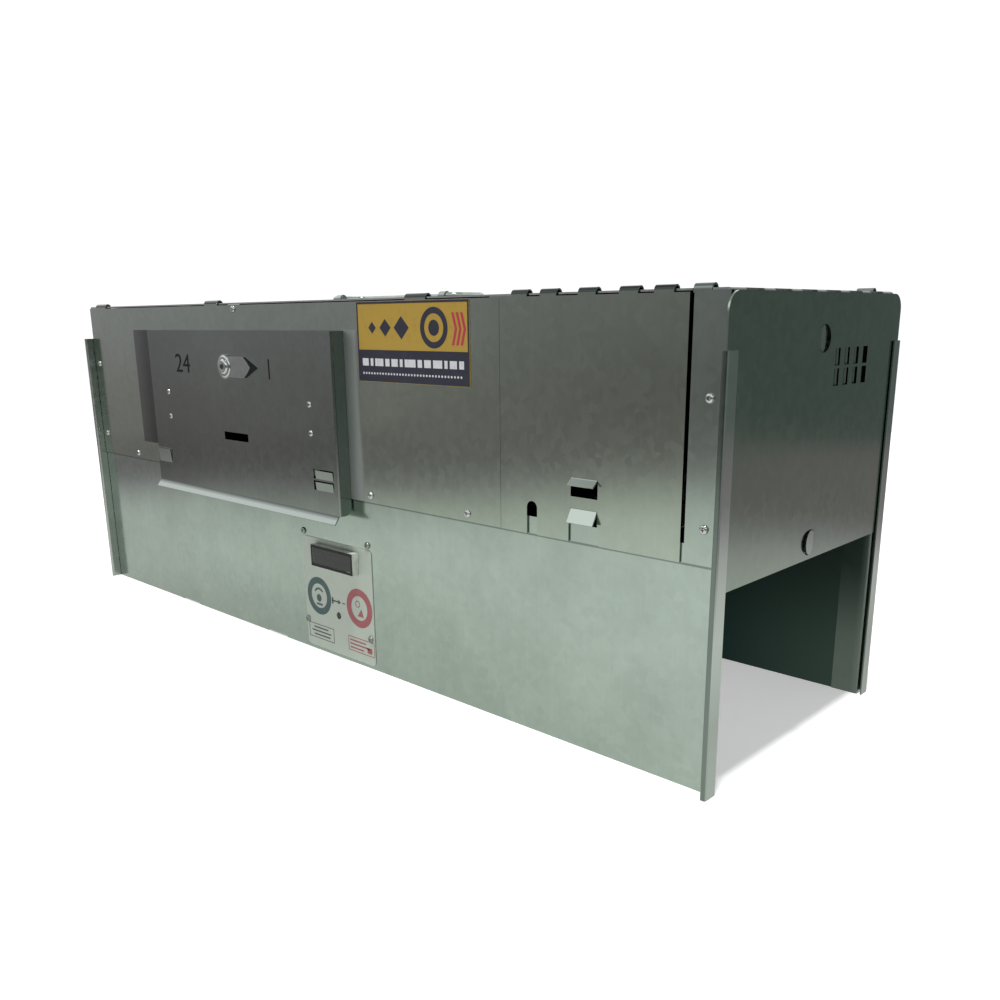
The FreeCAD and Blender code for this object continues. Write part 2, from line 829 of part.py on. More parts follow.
def make_door_cover():
    """Shallow cover with a wing, a flange, a closed top and a pull lip."""
    plate_line = door_front + cover_gauge / 2
    wing_line = door_back - cover_gauge / 2
    left = door_left + cover_gauge / 2
    right = door_right - cover_gauge / 2
    upper = folded_sheet([(door_left - door_wing_width, wing_line), (left, wing_line), (left, plate_line),
                          (right, plate_line), (right, door_back)],
                         cover_gauge, ALONG_Z, door_wing_bottom, door_top)
    lower = folded_sheet([(door_left, plate_line), (right, plate_line), (right, door_back)],
                         cover_gauge, ALONG_Z, door_bottom, door_wing_bottom)
    lower = round_edges(lower, ALONG_X, door_flange_corner,
                        lambda spot: spot.z < door_bottom + cover_gauge and spot.y > door_back - cover_gauge)
    lid = block(door_left + cover_gauge, door_right - cover_gauge, door_front + cover_gauge,
                door_back - door_lid_clearance, door_top - cover_gauge, door_top)
    lip = folded_sheet([(plate_line, door_bottom + door_lip_drop), (plate_line, door_bottom),
                        (plate_line - door_lip_reach, door_bottom - door_lip_drop)],
                       cover_gauge, ALONG_X, door_left, door_right - cover_gauge - bend_radius)
    cover = joined([upper, lower, lid, lip])
    near = door_front - cut_overrun
    far = door_front + cut_overrun
    cuts = [block(left_side, right_side, near, far, bottom, top)
            for left_side, right_side, bottom, top in door_windows()]
    cuts += [block(door_slot_centre - door_slot_length / 2, door_slot_centre + door_slot_length / 2,
                  near, far, door_slot_level - door_slot_height / 2, door_slot_level + door_slot_height / 2),
            disc(pivot_shank_radius + running_gap, far - near,
                 Vector(pointer_pivot_x, near, pointer_pivot_z), ALONG_Y)]
    for x in door_hook_places:
        for z in rivet_levels:
            cuts.append(disc(rivet_shank_radius, far - near, Vector(x, near, z), ALONG_Y))
    flaps = [window_flap(*window) for window in door_windows()]
    return joined([cover.cut(Part.makeCompound(cuts))] + flaps)


def make_door_hooks():
    """Z-bent strips behind the door cover, which hang it on the sill of the window."""
    plate_line = door_front + cover_gauge + cover_gauge / 2
    sill_line = access_sill + moving_gap + cover_gauge / 2
    inside_line = inner_front + moving_gap + cover_gauge / 2
    fold = [(plate_line, door_hook_top), (plate_line, sill_line), (inside_line, sill_line),
            (inside_line, access_sill - door_hook_reach_down)]
    hooks = []
    for x in door_hook_places:
        strip = folded_sheet(fold, cover_gauge, ALONG_X, x - door_hook_width / 2, x + door_hook_width / 2)
        for z in rivet_levels:
            strip = strip.cut(disc(rivet_shank_radius, 2 * cut_overrun,
                                   Vector(x, door_front - cut_overrun, z), ALONG_Y))
        hooks.append(strip)
    return Part.makeCompound(hooks)


def make_door_rivets():
    """Rivets with a dome on both sides of the door plate and its hook strip."""
    rivets = []
    grip = 2 * cover_gauge
    for x in door_hook_places:
        for z in rivet_levels:
            outside = Vector(x, door_front, z)
            inside = outside + ALONG_Y * grip
            shank = disc(rivet_shank_radius, grip, outside, ALONG_Y)
            heads = [dome(rivet_head_radius, rivet_head_height, outside, -ALONG_Y),
                     dome(rivet_head_radius, rivet_head_height, inside, ALONG_Y)]
            rivets.append(joined(heads + [shank]))
    return Part.makeCompound(rivets)


def make_pointer():
    """Flat pointer with a round head and a pointed end, on its pivot."""
    back = door_front - moving_gap
    near = back - pointer_gauge
    half = pointer_half_height
    root = math.sqrt(pointer_head_radius ** 2 - half ** 2)
    spot = [Vector(pointer_pivot_x + x, near, pointer_pivot_z + z)
            for x, z in ((root, half), (pointer_shoulder, half), (pointer_tip, 0),
                         (pointer_shoulder, -half), (root, -half), (-pointer_head_radius, 0))]
    edges = [Part.makeLine(spot[0], spot[1]), Part.makeLine(spot[1], spot[2]),
             Part.makeLine(spot[2], spot[3]), Part.makeLine(spot[3], spot[4]),
             Part.Arc(spot[4], spot[5], spot[0]).toShape()]
    plate = Part.Face(Part.Wire(edges)).extrude(ALONG_Y * pointer_gauge)
    return plate.cut(pivot_hole(near))


def make_pointer_screw():
    """Pivot screw that turns the pointer and the tongue together."""
    face = door_front - moving_gap - pointer_gauge
    base = Vector(pointer_pivot_x, face, pointer_pivot_z)
    shank = disc(pivot_shank_radius, tongue_face + tongue_gauge + pivot_nut_height - face, base, ALONG_Y)
    return joined([dome(pivot_head_radius, pivot_head_height, base, -ALONG_Y), shank])


def make_latch_tongue():
    """Tongue behind the edge of the access window, which keeps the door cover shut."""
    half = tongue_width / 2
    x = pointer_pivot_x
    tongue = block(x - half, x + half, tongue_face, tongue_face + tongue_gauge,
                   pointer_pivot_z, pointer_pivot_z + tongue_length - half)
    eyes = [disc(half, tongue_gauge, Vector(x, tongue_face, z), ALONG_Y)
            for z in (pointer_pivot_z, pointer_pivot_z + tongue_length - half)]
    return joined([tongue] + eyes).cut(pivot_hole(tongue_face))


def pivot_hole(face):
    """Cutter for the hole that a piece is fixed on the pivot screw by."""
    return disc(pivot_shank_radius, 2 * cut_overrun,
                Vector(pointer_pivot_x, face - cut_overrun, pointer_pivot_z), ALONG_Y)


def make_pointer_nut():
    nut = hexagon(pointer_pivot_x, pointer_pivot_z, pivot_nut_width, tongue_face + tongue_gauge,
                  pivot_nut_height)
    return nut.cut(pivot_hole(tongue_face + tongue_gauge + pivot_nut_height / 2))


def hexagon(x, z, width, start, height):
    """Hexagonal nut on an axis along Y."""
    radius = width / 2 / math.cos(math.radians(30))
    corners = []
    for index in range(7):
        angle = math.radians(60 * index)
        corners.append(Vector(x + radius * math.cos(angle), start, z + radius * math.sin(angle)))
    return Part.Face(Part.makePolygon(corners)).extrude(ALONG_Y * height)


def make_cover_screws():
    """Screws of the front cover, along its foot and at its top."""
    length = cover_gauge + panel_gauge + screw_length / 2
    spots = [(x, cover_screw_level) for x in cover_screw_places] + [(top_screw_place, top_screw_level)]
    return Part.makeCompound([pan_screw(x, cover_front, z, length) for x, z in spots])


def make_post_screws():
    """Screws into the guide posts, those at the front left also through the cover."""
    tip = inner_front + post_gauge + screw_length / 2
    screws = []
    for x in post_screw_places():
        for z in post_screw_levels:
            face = cover_front if x < 0 else front
            screws.append(pan_screw(x, face, z, tip - face))
            screws.append(mirrored(pan_screw(x, front, z, tip - front), ALONG_Y))
    return Part.makeCompound(screws)


def label_screw_spots():
    return [(x, z) for x in (label_screw_left, label_screw_right)
            for z in (label_screw_low, label_screw_high)]


def display_opening():
    """Cutter for the display's opening through the panel and the label."""
    return block(display_left - edge_gap, display_right + edge_gap, label_front - cut_overrun,
                 inner_front + cut_overrun, display_bottom - edge_gap, display_top + edge_gap)


def make_label_plate():
    """Blank plate round the display and the button."""
    plate = block(label_left, label_right, label_front, front, label_bottom, label_top)
    plate = round_edges(plate, ALONG_Y, label_corner)
    for x, z in label_screw_spots():
        plate = plate.cut(wall_hole(x, z, screw_shank_radius + running_gap, -1))
    plate = plate.cut(display_opening())
    return plate.cut(wall_hole(button_place, button_level, button_radius + button_hole_gap, -1))


def make_label_screws():
    """Screws that hold the control board, two through the label and two above it."""
    tip = inner_front + spacer_length + board_thickness + nut_height
    screws = []
    for x, z in label_screw_spots():
        face = label_front if z < label_top else front
        screws.append(pan_screw(x, face, z, tip - face))
    return Part.makeCompound(screws)


def make_board_spacers():
    """Tubes that hold the control board off the panel."""
    tubes = []
    for x, z in label_screw_spots():
        tube = disc(spacer_radius, spacer_length, Vector(x, inner_front, z), ALONG_Y)
        tubes.append(tube.cut(wall_hole(x, z, screw_shank_radius + running_gap, -1)))
    return Part.makeCompound(tubes)


def make_board_nuts():
    """Nuts on the label screws, behind the control board."""
    start = inner_front + spacer_length + board_thickness
    nuts = []
    for x, z in label_screw_spots():
        nut = hexagon(x, z, nut_width, start, nut_height)
        nuts.append(nut.cut(wall_hole(x, z, screw_shank_radius + running_gap, -1)))
    return Part.makeCompound(nuts)


def make_control_board():
    """Circuit board that carries the display and the switch."""
    face = inner_front + spacer_length
    board = block(label_screw_left - board_margin, label_screw_right + board_margin, face,
                  face + board_thickness, label_screw_low - board_margin, label_screw_high + board_margin)
    for x, z in label_screw_spots():
        board = board.cut(wall_hole(x, z, screw_shank_radius + running_gap, -1))
    return board


def display_front():
    return label_front - display_stand_out


def make_display_housing():
    """Body of the display, from the board out through the label, with a sunk window."""
    body = block(display_left, display_right, display_front(), inner_front + spacer_length,
                 display_bottom, display_top)
    recess = block(display_left + display_border, display_right - display_border,
                   display_front() - cut_overrun, display_front() + display_lens_drop + display_glass,
                   display_bottom + display_border, display_top - display_border)
    return body.cut(recess)


def make_display_window():
    """Clear window in the recess of the display."""
    face = display_front() + display_lens_drop
    return block(display_left + display_border, display_right - display_border, face,
                 face + display_glass, display_bottom + display_border, display_top - display_border)


def make_switch_body():
    """Switch on the board, which the button's stem slides into."""
    half = switch_size / 2
    collar_back = inner_front + button_collar_height + moving_gap
    body = block(button_place - half, button_place + half, collar_back + button_travel + moving_gap,
                 inner_front + spacer_length, button_level - half, button_level + half)
    bore = disc(button_radius / 2 + running_gap, spacer_length,
                Vector(button_place, inner_front, button_level), ALONG_Y)
    return body.cut(bore)


def make_push_button():
    """Sunk round button with a collar behind the panel and a stem into the switch."""
    top = label_front + button_recess
    collar_front = inner_front + moving_gap
    stem_end = inner_front + spacer_length - button_travel - moving_gap
    head = disc(button_radius, collar_front - top, Vector(button_place, top, button_level), ALONG_Y)
    collar = disc(button_collar_radius, button_collar_height,
                  Vector(button_place, collar_front, button_level), ALONG_Y)
    stem = disc(button_radius / 2, stem_end - collar_front,
                Vector(button_place, collar_front, button_level), ALONG_Y)
    return joined([head, collar, stem])


def make_control_box():
    """Cover in the tunnel that keeps the rat off the control board."""
    left = label_screw_left - board_margin - box_margin
    right = label_screw_right + board_margin + box_margin
    top = label_screw_high + board_margin + box_margin
    bottom = label_screw_low - board_margin - box_margin
    back = inner_front + box_depth
    shell = round_edges(block(left, right, inner_front, back, bottom, top), ALONG_Y, box_corner)
    hollow = block(left + box_gauge, right - box_gauge, inner_front - cut_overrun, back - box_gauge,
                   bottom + box_gauge, top - box_gauge)
    hollow = round_edges(hollow, ALONG_Y, box_corner - box_gauge)
    flange = block(left - box_flange, right + box_flange, inner_front, inner_front + box_gauge, bottom, top)
    inside = block(left + box_gauge, right - box_gauge, inner_front - cut_overrun,
                   inner_front + cut_overrun, bottom + box_gauge, top - box_gauge)
    return joined([shell.cut(hollow), flange.cut(round_edges(inside, ALONG_Y, box_corner - box_gauge))])


def make_emblem_plate():
    """Thin decorated plate on the front cover."""
    plate = block(emblem_left, emblem_right, cover_front - emblem_thickness, cover_front,
                  emblem_bottom, emblem_top)
    return round_edges(plate, ALONG_Y, emblem_corner)


def plate_places():
    """Middles of the electrode plates along the bed."""
    pitch = (bed_right - bed_left) / plate_count
    return [bed_left + pitch * (index + 1 / 2) for index in range(plate_count)]


def plate_screw_spots(places):
    reach = -inner_front - plate_end_margin - plate_width / 4
    return [(x, side * reach) for x in places for side in (-1, 1)]


def make_electrode_board():
    """Insulating board that lies on the shelf tabs of both panels."""
    side = -inner_front - bend_radius - bed_side_gap
    board = block(bed_left, bed_right, -side, side, panel_gauge, panel_gauge + bed_thickness)
    top = panel_gauge + bed_thickness
    for x, y in plate_screw_spots(plate_places()):
        board = board.cut(disc(plate_screw_radius, plate_screw_length,
                               Vector(x, y, top - plate_screw_length), ALONG_Z))
    return board


def make_electrode_plates(places):
    """Steel plates that the rat steps on."""
    top = panel_gauge + bed_thickness
    reach = -inner_front - plate_end_margin
    plates = []
    for x in places:
        plate = block(x - plate_width / 2, x + plate_width / 2, -reach, reach, top, top + plate_gauge)
        for screw_x, y in plate_screw_spots([x]):
            plate = plate.cut(disc(plate_screw_radius, 2 * cut_overrun,
                                   Vector(screw_x, y, top - cut_overrun), ALONG_Z))
        plates.append(plate)
    return Part.makeCompound(plates)


def make_electrode_screws():
    """Screws that hold the electrode plates on their board."""
    top = panel_gauge + bed_thickness + plate_gauge
    screws = []
    for x, y in plate_screw_spots(plate_places()):
        head = Part.makeCone(plate_screw_head, plate_screw_radius, plate_screw_rise, Vector(x, y, top))
        shank_length = plate_screw_length + plate_gauge
        shank = disc(plate_screw_radius, shank_length, Vector(x, y, top - shank_length), ALONG_Z)
        screws.append(joined([head, shank]))
    return Part.makeCompound(screws)


def make_battery():
    """Sealed battery with two blade terminals."""
    left = battery_place - battery_length / 2
    case = block(left, left + battery_length, -battery_depth / 2, battery_depth / 2,
                 tunnel_roof_top, tunnel_roof_top + battery_height)
    case = round_edges(case, ALONG_Z, battery_corner)
    pieces = [case]
    for x in (left + strap_width, left + battery_length - strap_width):
        pieces.append(block(x - terminal_width / 2, x + terminal_width / 2, -terminal_gauge / 2,
                            terminal_gauge / 2, tunnel_roof_top + battery_height - terminal_rise,
                            tunnel_roof_top + battery_height + terminal_rise))
    return joined(pieces)


def make_battery_strap():
    """Strap folded over the battery, with a foot on each side."""
    side = battery_depth / 2 + bend_radius + strap_gauge / 2
    foot = tunnel_roof_top + strap_gauge / 2
    head = tunnel_roof_top + battery_height + strap_gauge / 2
    fold = [(-side - strap_foot, foot), (-side, foot), (-side, head), (side, head), (side, foot),
            (side + strap_foot, foot)]
    return folded_sheet(fold, strap_gauge, ALONG_X, battery_place - strap_width / 2,
                        battery_place + strap_width / 2)


def make_high_voltage_unit():
    """Potted unit that feeds the electrodes, with fixing flanges and two post terminals."""
    left = unit_place - unit_length / 2
    right = unit_place + unit_length / 2
    case = block(left, right, -unit_depth / 2, unit_depth / 2, tunnel_roof_top,
                 tunnel_roof_top + unit_height)
    case = round_edges(case, ALONG_Z, unit_corner)
    flange = block(left - unit_flange, right + unit_flange, -unit_depth / 4, unit_depth / 4,
                   tunnel_roof_top, tunnel_roof_top + unit_flange_thickness)
    pieces = [case, flange]
    for side in (-1, 1):
        base = Vector(unit_place + side * unit_length / 4, 0, tunnel_roof_top + unit_height - unit_corner)
        pieces.append(disc(post_terminal_radius, post_terminal_rise + unit_corner, base, ALONG_Z))
    return joined(pieces)


def make_bait_tray():
    """Open tray for the bait, with slots in its floor."""
    outer = block(tray_left, tray_right, -tray_half_depth, tray_half_depth,
                  tunnel_roof_top, tunnel_roof_top + tray_height)
    outer = round_edges(outer, ALONG_Z, bend_radius + tray_gauge)
    inner = block(tray_left + tray_gauge, tray_right - tray_gauge, tray_gauge - tray_half_depth,
                  tray_half_depth - tray_gauge, tunnel_roof_top + tray_gauge, body_height)
    inner = round_edges(inner, ALONG_Z, bend_radius)
    tray = outer.cut(inner)
    return tray.cut(Part.makeCompound(scent_slots(tunnel_roof_top - cut_overrun)))


def make_handle():
    """Bail of round rod that lies on the roof and swings up."""
    x = handle_half_length
    y = handle_half_depth
    inner = x - handle_pin_length
    points = [(-inner, -y), (-x, -y), (-x, y), (x, y), (x, -y), (inner, -y)]
    runs = path_runs(points, handle_bend_radius)
    path = Part.Wire(offset_edges(runs, handle_bend_radius, 0, ALONG_Z, handle_level))
    section = Part.Wire(Part.makeCircle(handle_rod_radius, Vector(-inner, -y, handle_level), ALONG_X))
    return path.makePipeShell([section], True, False)


def make_handle_saddles():
    """Straps riveted on the roof, which the turned-in ends of the bail pivot in."""
    bore = handle_rod_radius + running_gap
    outer = bore + saddle_gauge
    pin_middle = handle_half_length - handle_bend_radius / 2 - handle_pin_length / 2
    saddles = []
    for side in (-1, 1):
        left = side * pin_middle - saddle_width / 2
        right = left + saddle_width
        base = Vector(left, -handle_half_depth, handle_level)
        feet_reach = outer + saddle_foot
        arch = disc(outer, saddle_width, base, ALONG_X)
        skirt = block(left, right, -handle_half_depth - outer, outer - handle_half_depth,
                      body_height, handle_level)
        feet = block(left, right, -handle_half_depth - feet_reach, feet_reach - handle_half_depth,
                     body_height, body_height + saddle_gauge)
        hollow = block(left, right, -handle_half_depth - bore, bore - handle_half_depth,
                       body_height - cut_overrun, handle_level)
        above_roof = block(left, right, front, -front, body_height, handle_level + outer)
        strap = joined([arch, skirt, feet]).cut(hollow).cut(disc(bore, saddle_width, base, ALONG_X))
        saddles.append(strap.common(above_roof))
    return Part.makeCompound(saddles)


def build():
    """Every piece of the trap by its name."""
    post = make_guide_post()
    rear_post = mirrored(post, ALONG_Y)
    gate = make_gate()
    left_gate = turned_end_for_end(gate)
    left_gate.translate(Vector(0, 0, -left_gate_drop))
    places = plate_places()
    return {
        "front_side_panel": make_front_side_panel(),
        "rear_side_panel": make_rear_side_panel(),
        "roof_sheet": make_roof_sheet(),
        "tunnel_roof": make_tunnel_roof(),
        "bulkhead": make_bulkhead(),
        "front_right_guide_post": post,
        "front_left_guide_post": mirrored(post, ALONG_X),
        "rear_right_guide_post": rear_post,
        "rear_left_guide_post": mirrored(rear_post, ALONG_X),
        "right_gate": gate,
        "left_gate": left_gate,
        "front_cover": make_front_cover(),
        "hatch": make_hatch(),
        "door_cover": make_door_cover(),
        "door_hooks": make_door_hooks(),
        "door_rivets": make_door_rivets(),
        "setting_pointer": make_pointer(),
        "pointer_screw": make_pointer_screw(),
        "latch_tongue": make_latch_tongue(),
        "pointer_nut": make_pointer_nut(),
        "cover_screws": make_cover_screws(),
        "post_screws": make_post_screws(),
        "emblem_plate": make_emblem_plate(),
        "label_plate": make_label_plate(),
        "label_screws": make_label_screws(),
        "board_spacers": make_board_spacers(),
        "board_nuts": make_board_nuts(),
        "control_board": make_control_board(),
        "control_box": make_control_box(),
        "display_housing": make_display_housing(),
        "display_window": make_display_window(),
        "switch_body": make_switch_body(),
        "push_button": make_push_button(),
        "electrode_board": make_electrode_board(),
        "live_plates": make_electrode_plates(places[0::2]),
        "earth_plates": make_electrode_plates(places[1::2]),
        "electrode_screws": make_electrode_screws(),
        "battery": make_battery(),
        "battery_strap": make_battery_strap(),
        "high_voltage_unit": make_high_voltage_unit(),
        "bait_tray": make_bait_tray(),
        "carrying_handle": make_handle(),
        "handle_saddles": make_handle_saddles(),
    }


os.makedirs("parts", exist_ok=True)
for name, shape in build().items():
    shape.exportStep("parts/" + name + ".step")
    print(name, len(shape.Solids), "solids", round(shape.Volume), "mm3")
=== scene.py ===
# %% [markdown]
# # A galvanised tunnel trap
# The trap is a box of folded zinc-coated sheet, a metre long, that stands on the ground. Its shape
# comes from a finished model, so this lesson adds what that model lacks: the zinc, the prints, the
# detailed screws and rivets, and the light that bare metal needs.
# Each real piece is one mesh at its real size in metres, so nothing is fitted here.

# %% Load the pieces
import bpy
import bmesh
import math
from mathutils import Matrix, Vector


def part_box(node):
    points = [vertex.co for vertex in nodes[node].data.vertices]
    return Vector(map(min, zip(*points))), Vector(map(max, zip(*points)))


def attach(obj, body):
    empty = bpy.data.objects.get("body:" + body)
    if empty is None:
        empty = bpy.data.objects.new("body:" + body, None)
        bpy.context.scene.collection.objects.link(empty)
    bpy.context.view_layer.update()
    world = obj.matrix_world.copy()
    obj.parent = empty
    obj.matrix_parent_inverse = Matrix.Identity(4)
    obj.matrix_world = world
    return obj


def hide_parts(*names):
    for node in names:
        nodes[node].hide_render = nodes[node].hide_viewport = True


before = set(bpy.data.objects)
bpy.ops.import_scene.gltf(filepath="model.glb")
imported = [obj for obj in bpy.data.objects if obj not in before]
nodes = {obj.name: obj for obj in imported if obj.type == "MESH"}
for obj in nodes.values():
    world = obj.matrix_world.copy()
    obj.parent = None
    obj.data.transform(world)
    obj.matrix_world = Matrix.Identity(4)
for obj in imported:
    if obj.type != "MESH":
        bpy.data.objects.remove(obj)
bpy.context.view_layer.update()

MM = 0.001

# %% [markdown]
# ## The camera
# A photograph has one eye point, one angle and one lens. All three were found from the long straight
# edges of the box. The picture's centre lies above the lens axis, which a small vertical shift
# repeats without tilting the upright edges.

# %% Camera
FRAME_PIXELS = 1000
SENSOR_MM = 36.0
FOCAL_PIXELS = 945.1
AXIS_PIXEL_X = 498.8
AXIS_PIXEL_Y = 570.4
CAMERA_PLACE = Vector((0.83708, -0.73331, 0.36173))
CAMERA_YAW = -0.759
CAMERA_PITCH = -0.262
CAMERA_ROLL = -0.010


def into_scene(name, data):
    """New object in the scene."""
    piece = bpy.data.objects.new(name, data)
    bpy.context.scene.collection.objects.link(piece)
    return piece


def place_camera():
    data = bpy.data.cameras.new("photo_camera")
    data.sensor_width = SENSOR_MM
    data.lens = FOCAL_PIXELS / FRAME_PIXELS * SENSOR_MM
    data.shift_x = (FRAME_PIXELS / 2 - AXIS_PIXEL_X) / FRAME_PIXELS
    data.shift_y = (AXIS_PIXEL_Y - FRAME_PIXELS / 2) / FRAME_PIXELS
    data.clip_start = 0.01
    gaze = Vector((math.sin(CAMERA_YAW) * math.cos(CAMERA_PITCH),
                   math.cos(CAMERA_YAW) * math.cos(CAMERA_PITCH), math.sin(CAMERA_PITCH)))
    level = gaze.to_track_quat("-Z", "Y").to_matrix().to_4x4()
    camera = into_scene("photo_camera", data)
    camera.matrix_world = Matrix.Translation(CAMERA_PLACE) @ level @ Matrix.Rotation(CAMERA_ROLL, 4, "Z")
    bpy.context.scene.camera = camera
    return camera


camera = place_camera()
print("lens", round(camera.data.lens, 2), "mm, shift", round(camera.data.shift_y, 4))

# %% [markdown]
# ## Light
# Bare metal has hardly any colour of its own: it shows what stands round it. In the photograph the
# lower half of the box is pale because it mirrors a pale floor, and the upper half is dark because
# it mirrors a dark room beyond the floor's edge. The floor glows like a light table, so the ground
# inside the tunnel is an even grey, and a distant lamp high in front turns the open floor white.
# What the metal mirrors are oval pools of light on that floor, which fade with distance: their fading
# sets the height where each side of the box turns dark. Folded lips that lean back mirror a bright
# ceiling, which is kept off the matt floor, where it would wash out the shadow in the tunnel.

# %% Helpers for shaders
def linear(hex_colour):
    """Linear colour of an sRGB hex value such as 8FA0B1."""
    parts = [int(hex_colour[i:i + 2], 16) / 255 for i in (0, 2, 4)]
    return tuple(p / 12.92 if p <= 0.04045 else ((p + 0.055) / 1.055) ** 2.4 for p in parts) + (1.0,)


def feed(tree, node, inputs):
    """Give a node its inputs: values, outputs of other nodes, or nodes for their first output."""
    for key, value in inputs.items():
        source = value.outputs[0] if isinstance(value, bpy.types.Node) else value
        if isinstance(source, bpy.types.NodeSocket):
            tree.links.new(source, node.inputs[key])
        else:
            node.inputs[key].default_value = source


def add(tree, kind, inputs=(), **settings):
    """One node with its settings, its input values and the links into it."""
    node = tree.nodes.new(kind)
    for name, value in settings.items():
        setattr(node, name, value)
    feed(tree, node, dict(inputs))
    return node


def set_stops(ramp, stops):
    """Give a colour ramp its (place, hex colour) stops, and return its colour socket."""
    marks = ramp.color_ramp.elements
    for mark, (place, colour) in zip((marks[0], marks[1]), (stops[0], stops[-1])):
        mark.position = place
        mark.color = linear(colour)
    for place, colour in stops[1:-1]:
        marks.new(place).color = linear(colour)
    return ramp.outputs["Color"]


# %% The dark room
# Stops run from the left of the trap (0) to its right (1), the ceiling's from the horizon (0) to the
# top (1).
FLOOR_EDGE_STOPS = (
    (0.0, "A79DA1"), (0.125, "AAA2A4"), (0.175, "968E90"), (0.225, "8A8284"), (0.30, "7E7A7B"),
    (0.71, "606867"), (1.0, "737A77"))
HORIZON_STOPS = (
    (0.0, "C0B8C2"), (0.05, "C0B8C2"), (0.065, "BAB4BD"), (0.125, "B7AEB8"), (0.175, "A59EA3"),
    (0.225, "9C969C"), (0.35, "8A8888"), (0.71, "606867"), (1.0, "737A77"))
HORIZON_LOW = -0.07
CEILING_STOPS = ((0.16, "000000"), (0.40, "FFFFFF"), (0.60, "FFFFFF"), (0.80, "898989"),
                 (1.0, "949494"))
CEILING_STRENGTH = 1.60
MATT_CEILING_STRENGTH = 0.25
BACKDROP_STRENGTH = 1.05


def paint_room():
    """White to the eye, and to the metal a dark room that is lighter overhead."""
    world = bpy.data.worlds.new("room")
    bpy.context.scene.world = world
    world.use_nodes = True
    tree = world.node_tree
    tree.nodes.clear()
    direction = add(tree, "ShaderNodeTexCoord").outputs["Generated"]
    parts = add(tree, "ShaderNodeSeparateXYZ", {"Vector": direction}).outputs
    side = add(tree, "ShaderNodeMapRange", {"Value": parts["X"], "From Min": -1.0})
    edge = set_stops(add(tree, "ShaderNodeValToRGB", {"Fac": side}), FLOOR_EDGE_STOPS)
    horizon = set_stops(add(tree, "ShaderNodeValToRGB", {"Fac": side}), HORIZON_STOPS)
    above = add(tree, "ShaderNodeMapRange", {"Value": parts["Z"], "From Min": HORIZON_LOW, "From Max": 0.0})
    walls = add(tree, "ShaderNodeMix", {0: above, 6: edge, 7: horizon}, data_type="RGBA").outputs[2]
    ray = add(tree, "ShaderNodeLightPath").outputs
    strength = add(tree, "ShaderNodeMapRange",
                   {"Value": ray["Is Diffuse Ray"], "To Min": CEILING_STRENGTH,
                    "To Max": MATT_CEILING_STRENGTH})
    ceiling = add(tree, "ShaderNodeCombineColor", {0: strength, 1: strength, 2: strength})
    overhead = set_stops(add(tree, "ShaderNodeValToRGB", {"Fac": parts["Z"]}), CEILING_STOPS)
    share = add(tree, "ShaderNodeSeparateColor", {"Color": overhead})
    colour = add(tree, "ShaderNodeMix", {0: share, 6: walls, 7: ceiling}, data_type="RGBA").outputs[2]
    room = add(tree, "ShaderNodeBackground", {"Color": colour})
    white = add(tree, "ShaderNodeBackground", {"Color": linear("FFFFFF"), "Strength": BACKDROP_STRENGTH})
    both = add(tree, "ShaderNodeMixShader", {0: ray["Is Camera Ray"], 1: room, 2: white})
    add(tree, "ShaderNodeOutputWorld", {"Surface": both})


bpy.context.scene.view_settings.view_transform = "Standard"
paint_room()
print("room colours", len(HORIZON_STOPS))

# %% Floor and lamp
FLOOR_RADIUS = 2.3
FLOOR_GLOW = 0.38
# Each row is the strength, the centre and the half sizes of an oval pool, in metres.
POOLS = ((0.448, (-0.745, -0.375), (0.533, 0.405)),
         (0.876, (0.346, -0.732), (0.814, 0.738)),
         (0.42, (0.75, 0.25), (0.45, 0.60)),
         (0.70, (-0.35, 0.85), (0.75, 0.50)))
POOL_EDGE = 3.0
POOL_TINTS = ((0.22, "80787A"), (0.34, "A199A0"), (0.42, "BCB5B9"), (0.55, "D4D2CF"),
              (0.70, "E8E7E4"), (0.82, "F9F6F5"), (1.0, "FFFEFD"))
POOL_STRENGTH = 1.28
# Between the pools the floor is a little brighter at the left end (x, strength) than at the right.
FAR_LEFT = (-0.30, 0.309)
FAR_RIGHT = (0.90, 0.20)
LAMP_STRENGTH = 2.30
LAMP_SPREAD_DEGREES = 4.0
LAMP_TILT_DEGREES = (8.0, 3.0)
LAMP_PLACE = (0, -0.6, 3)


def lay_floor():
    mesh = bpy.data.meshes.new("studio_floor")
    shape = bmesh.new()
    bmesh.ops.create_circle(shape, cap_ends=True, segments=160, radius=FLOOR_RADIUS)
    shape.to_mesh(mesh)
    shape.free()
    mesh.materials.append(floor_material())
    into_scene("studio_floor", mesh)


def with_pool(tree, place, level, strength, centre, size):
    """Add light that is even in the middle of an oval and falls off smoothly round it."""
    shift = (-centre[0] / size[0], -centre[1] / size[1], 0.0)
    scaled = add(tree, "ShaderNodeMapping",
                 {"Vector": place, "Location": shift, "Scale": (1 / size[0], 1 / size[1], 0.0)})
    reach = add(tree, "ShaderNodeVectorMath", {0: scaled}, operation="LENGTH").outputs["Value"]
    steep = add(tree, "ShaderNodeMath", {0: reach, 1: POOL_EDGE}, operation="POWER")
    faded = add(tree, "ShaderNodeMath", {0: 1 / math.e, 1: steep}, operation="POWER")
    return add(tree, "ShaderNodeMath", {0: faded, 1: strength, 2: level}, operation="MULTIPLY_ADD")


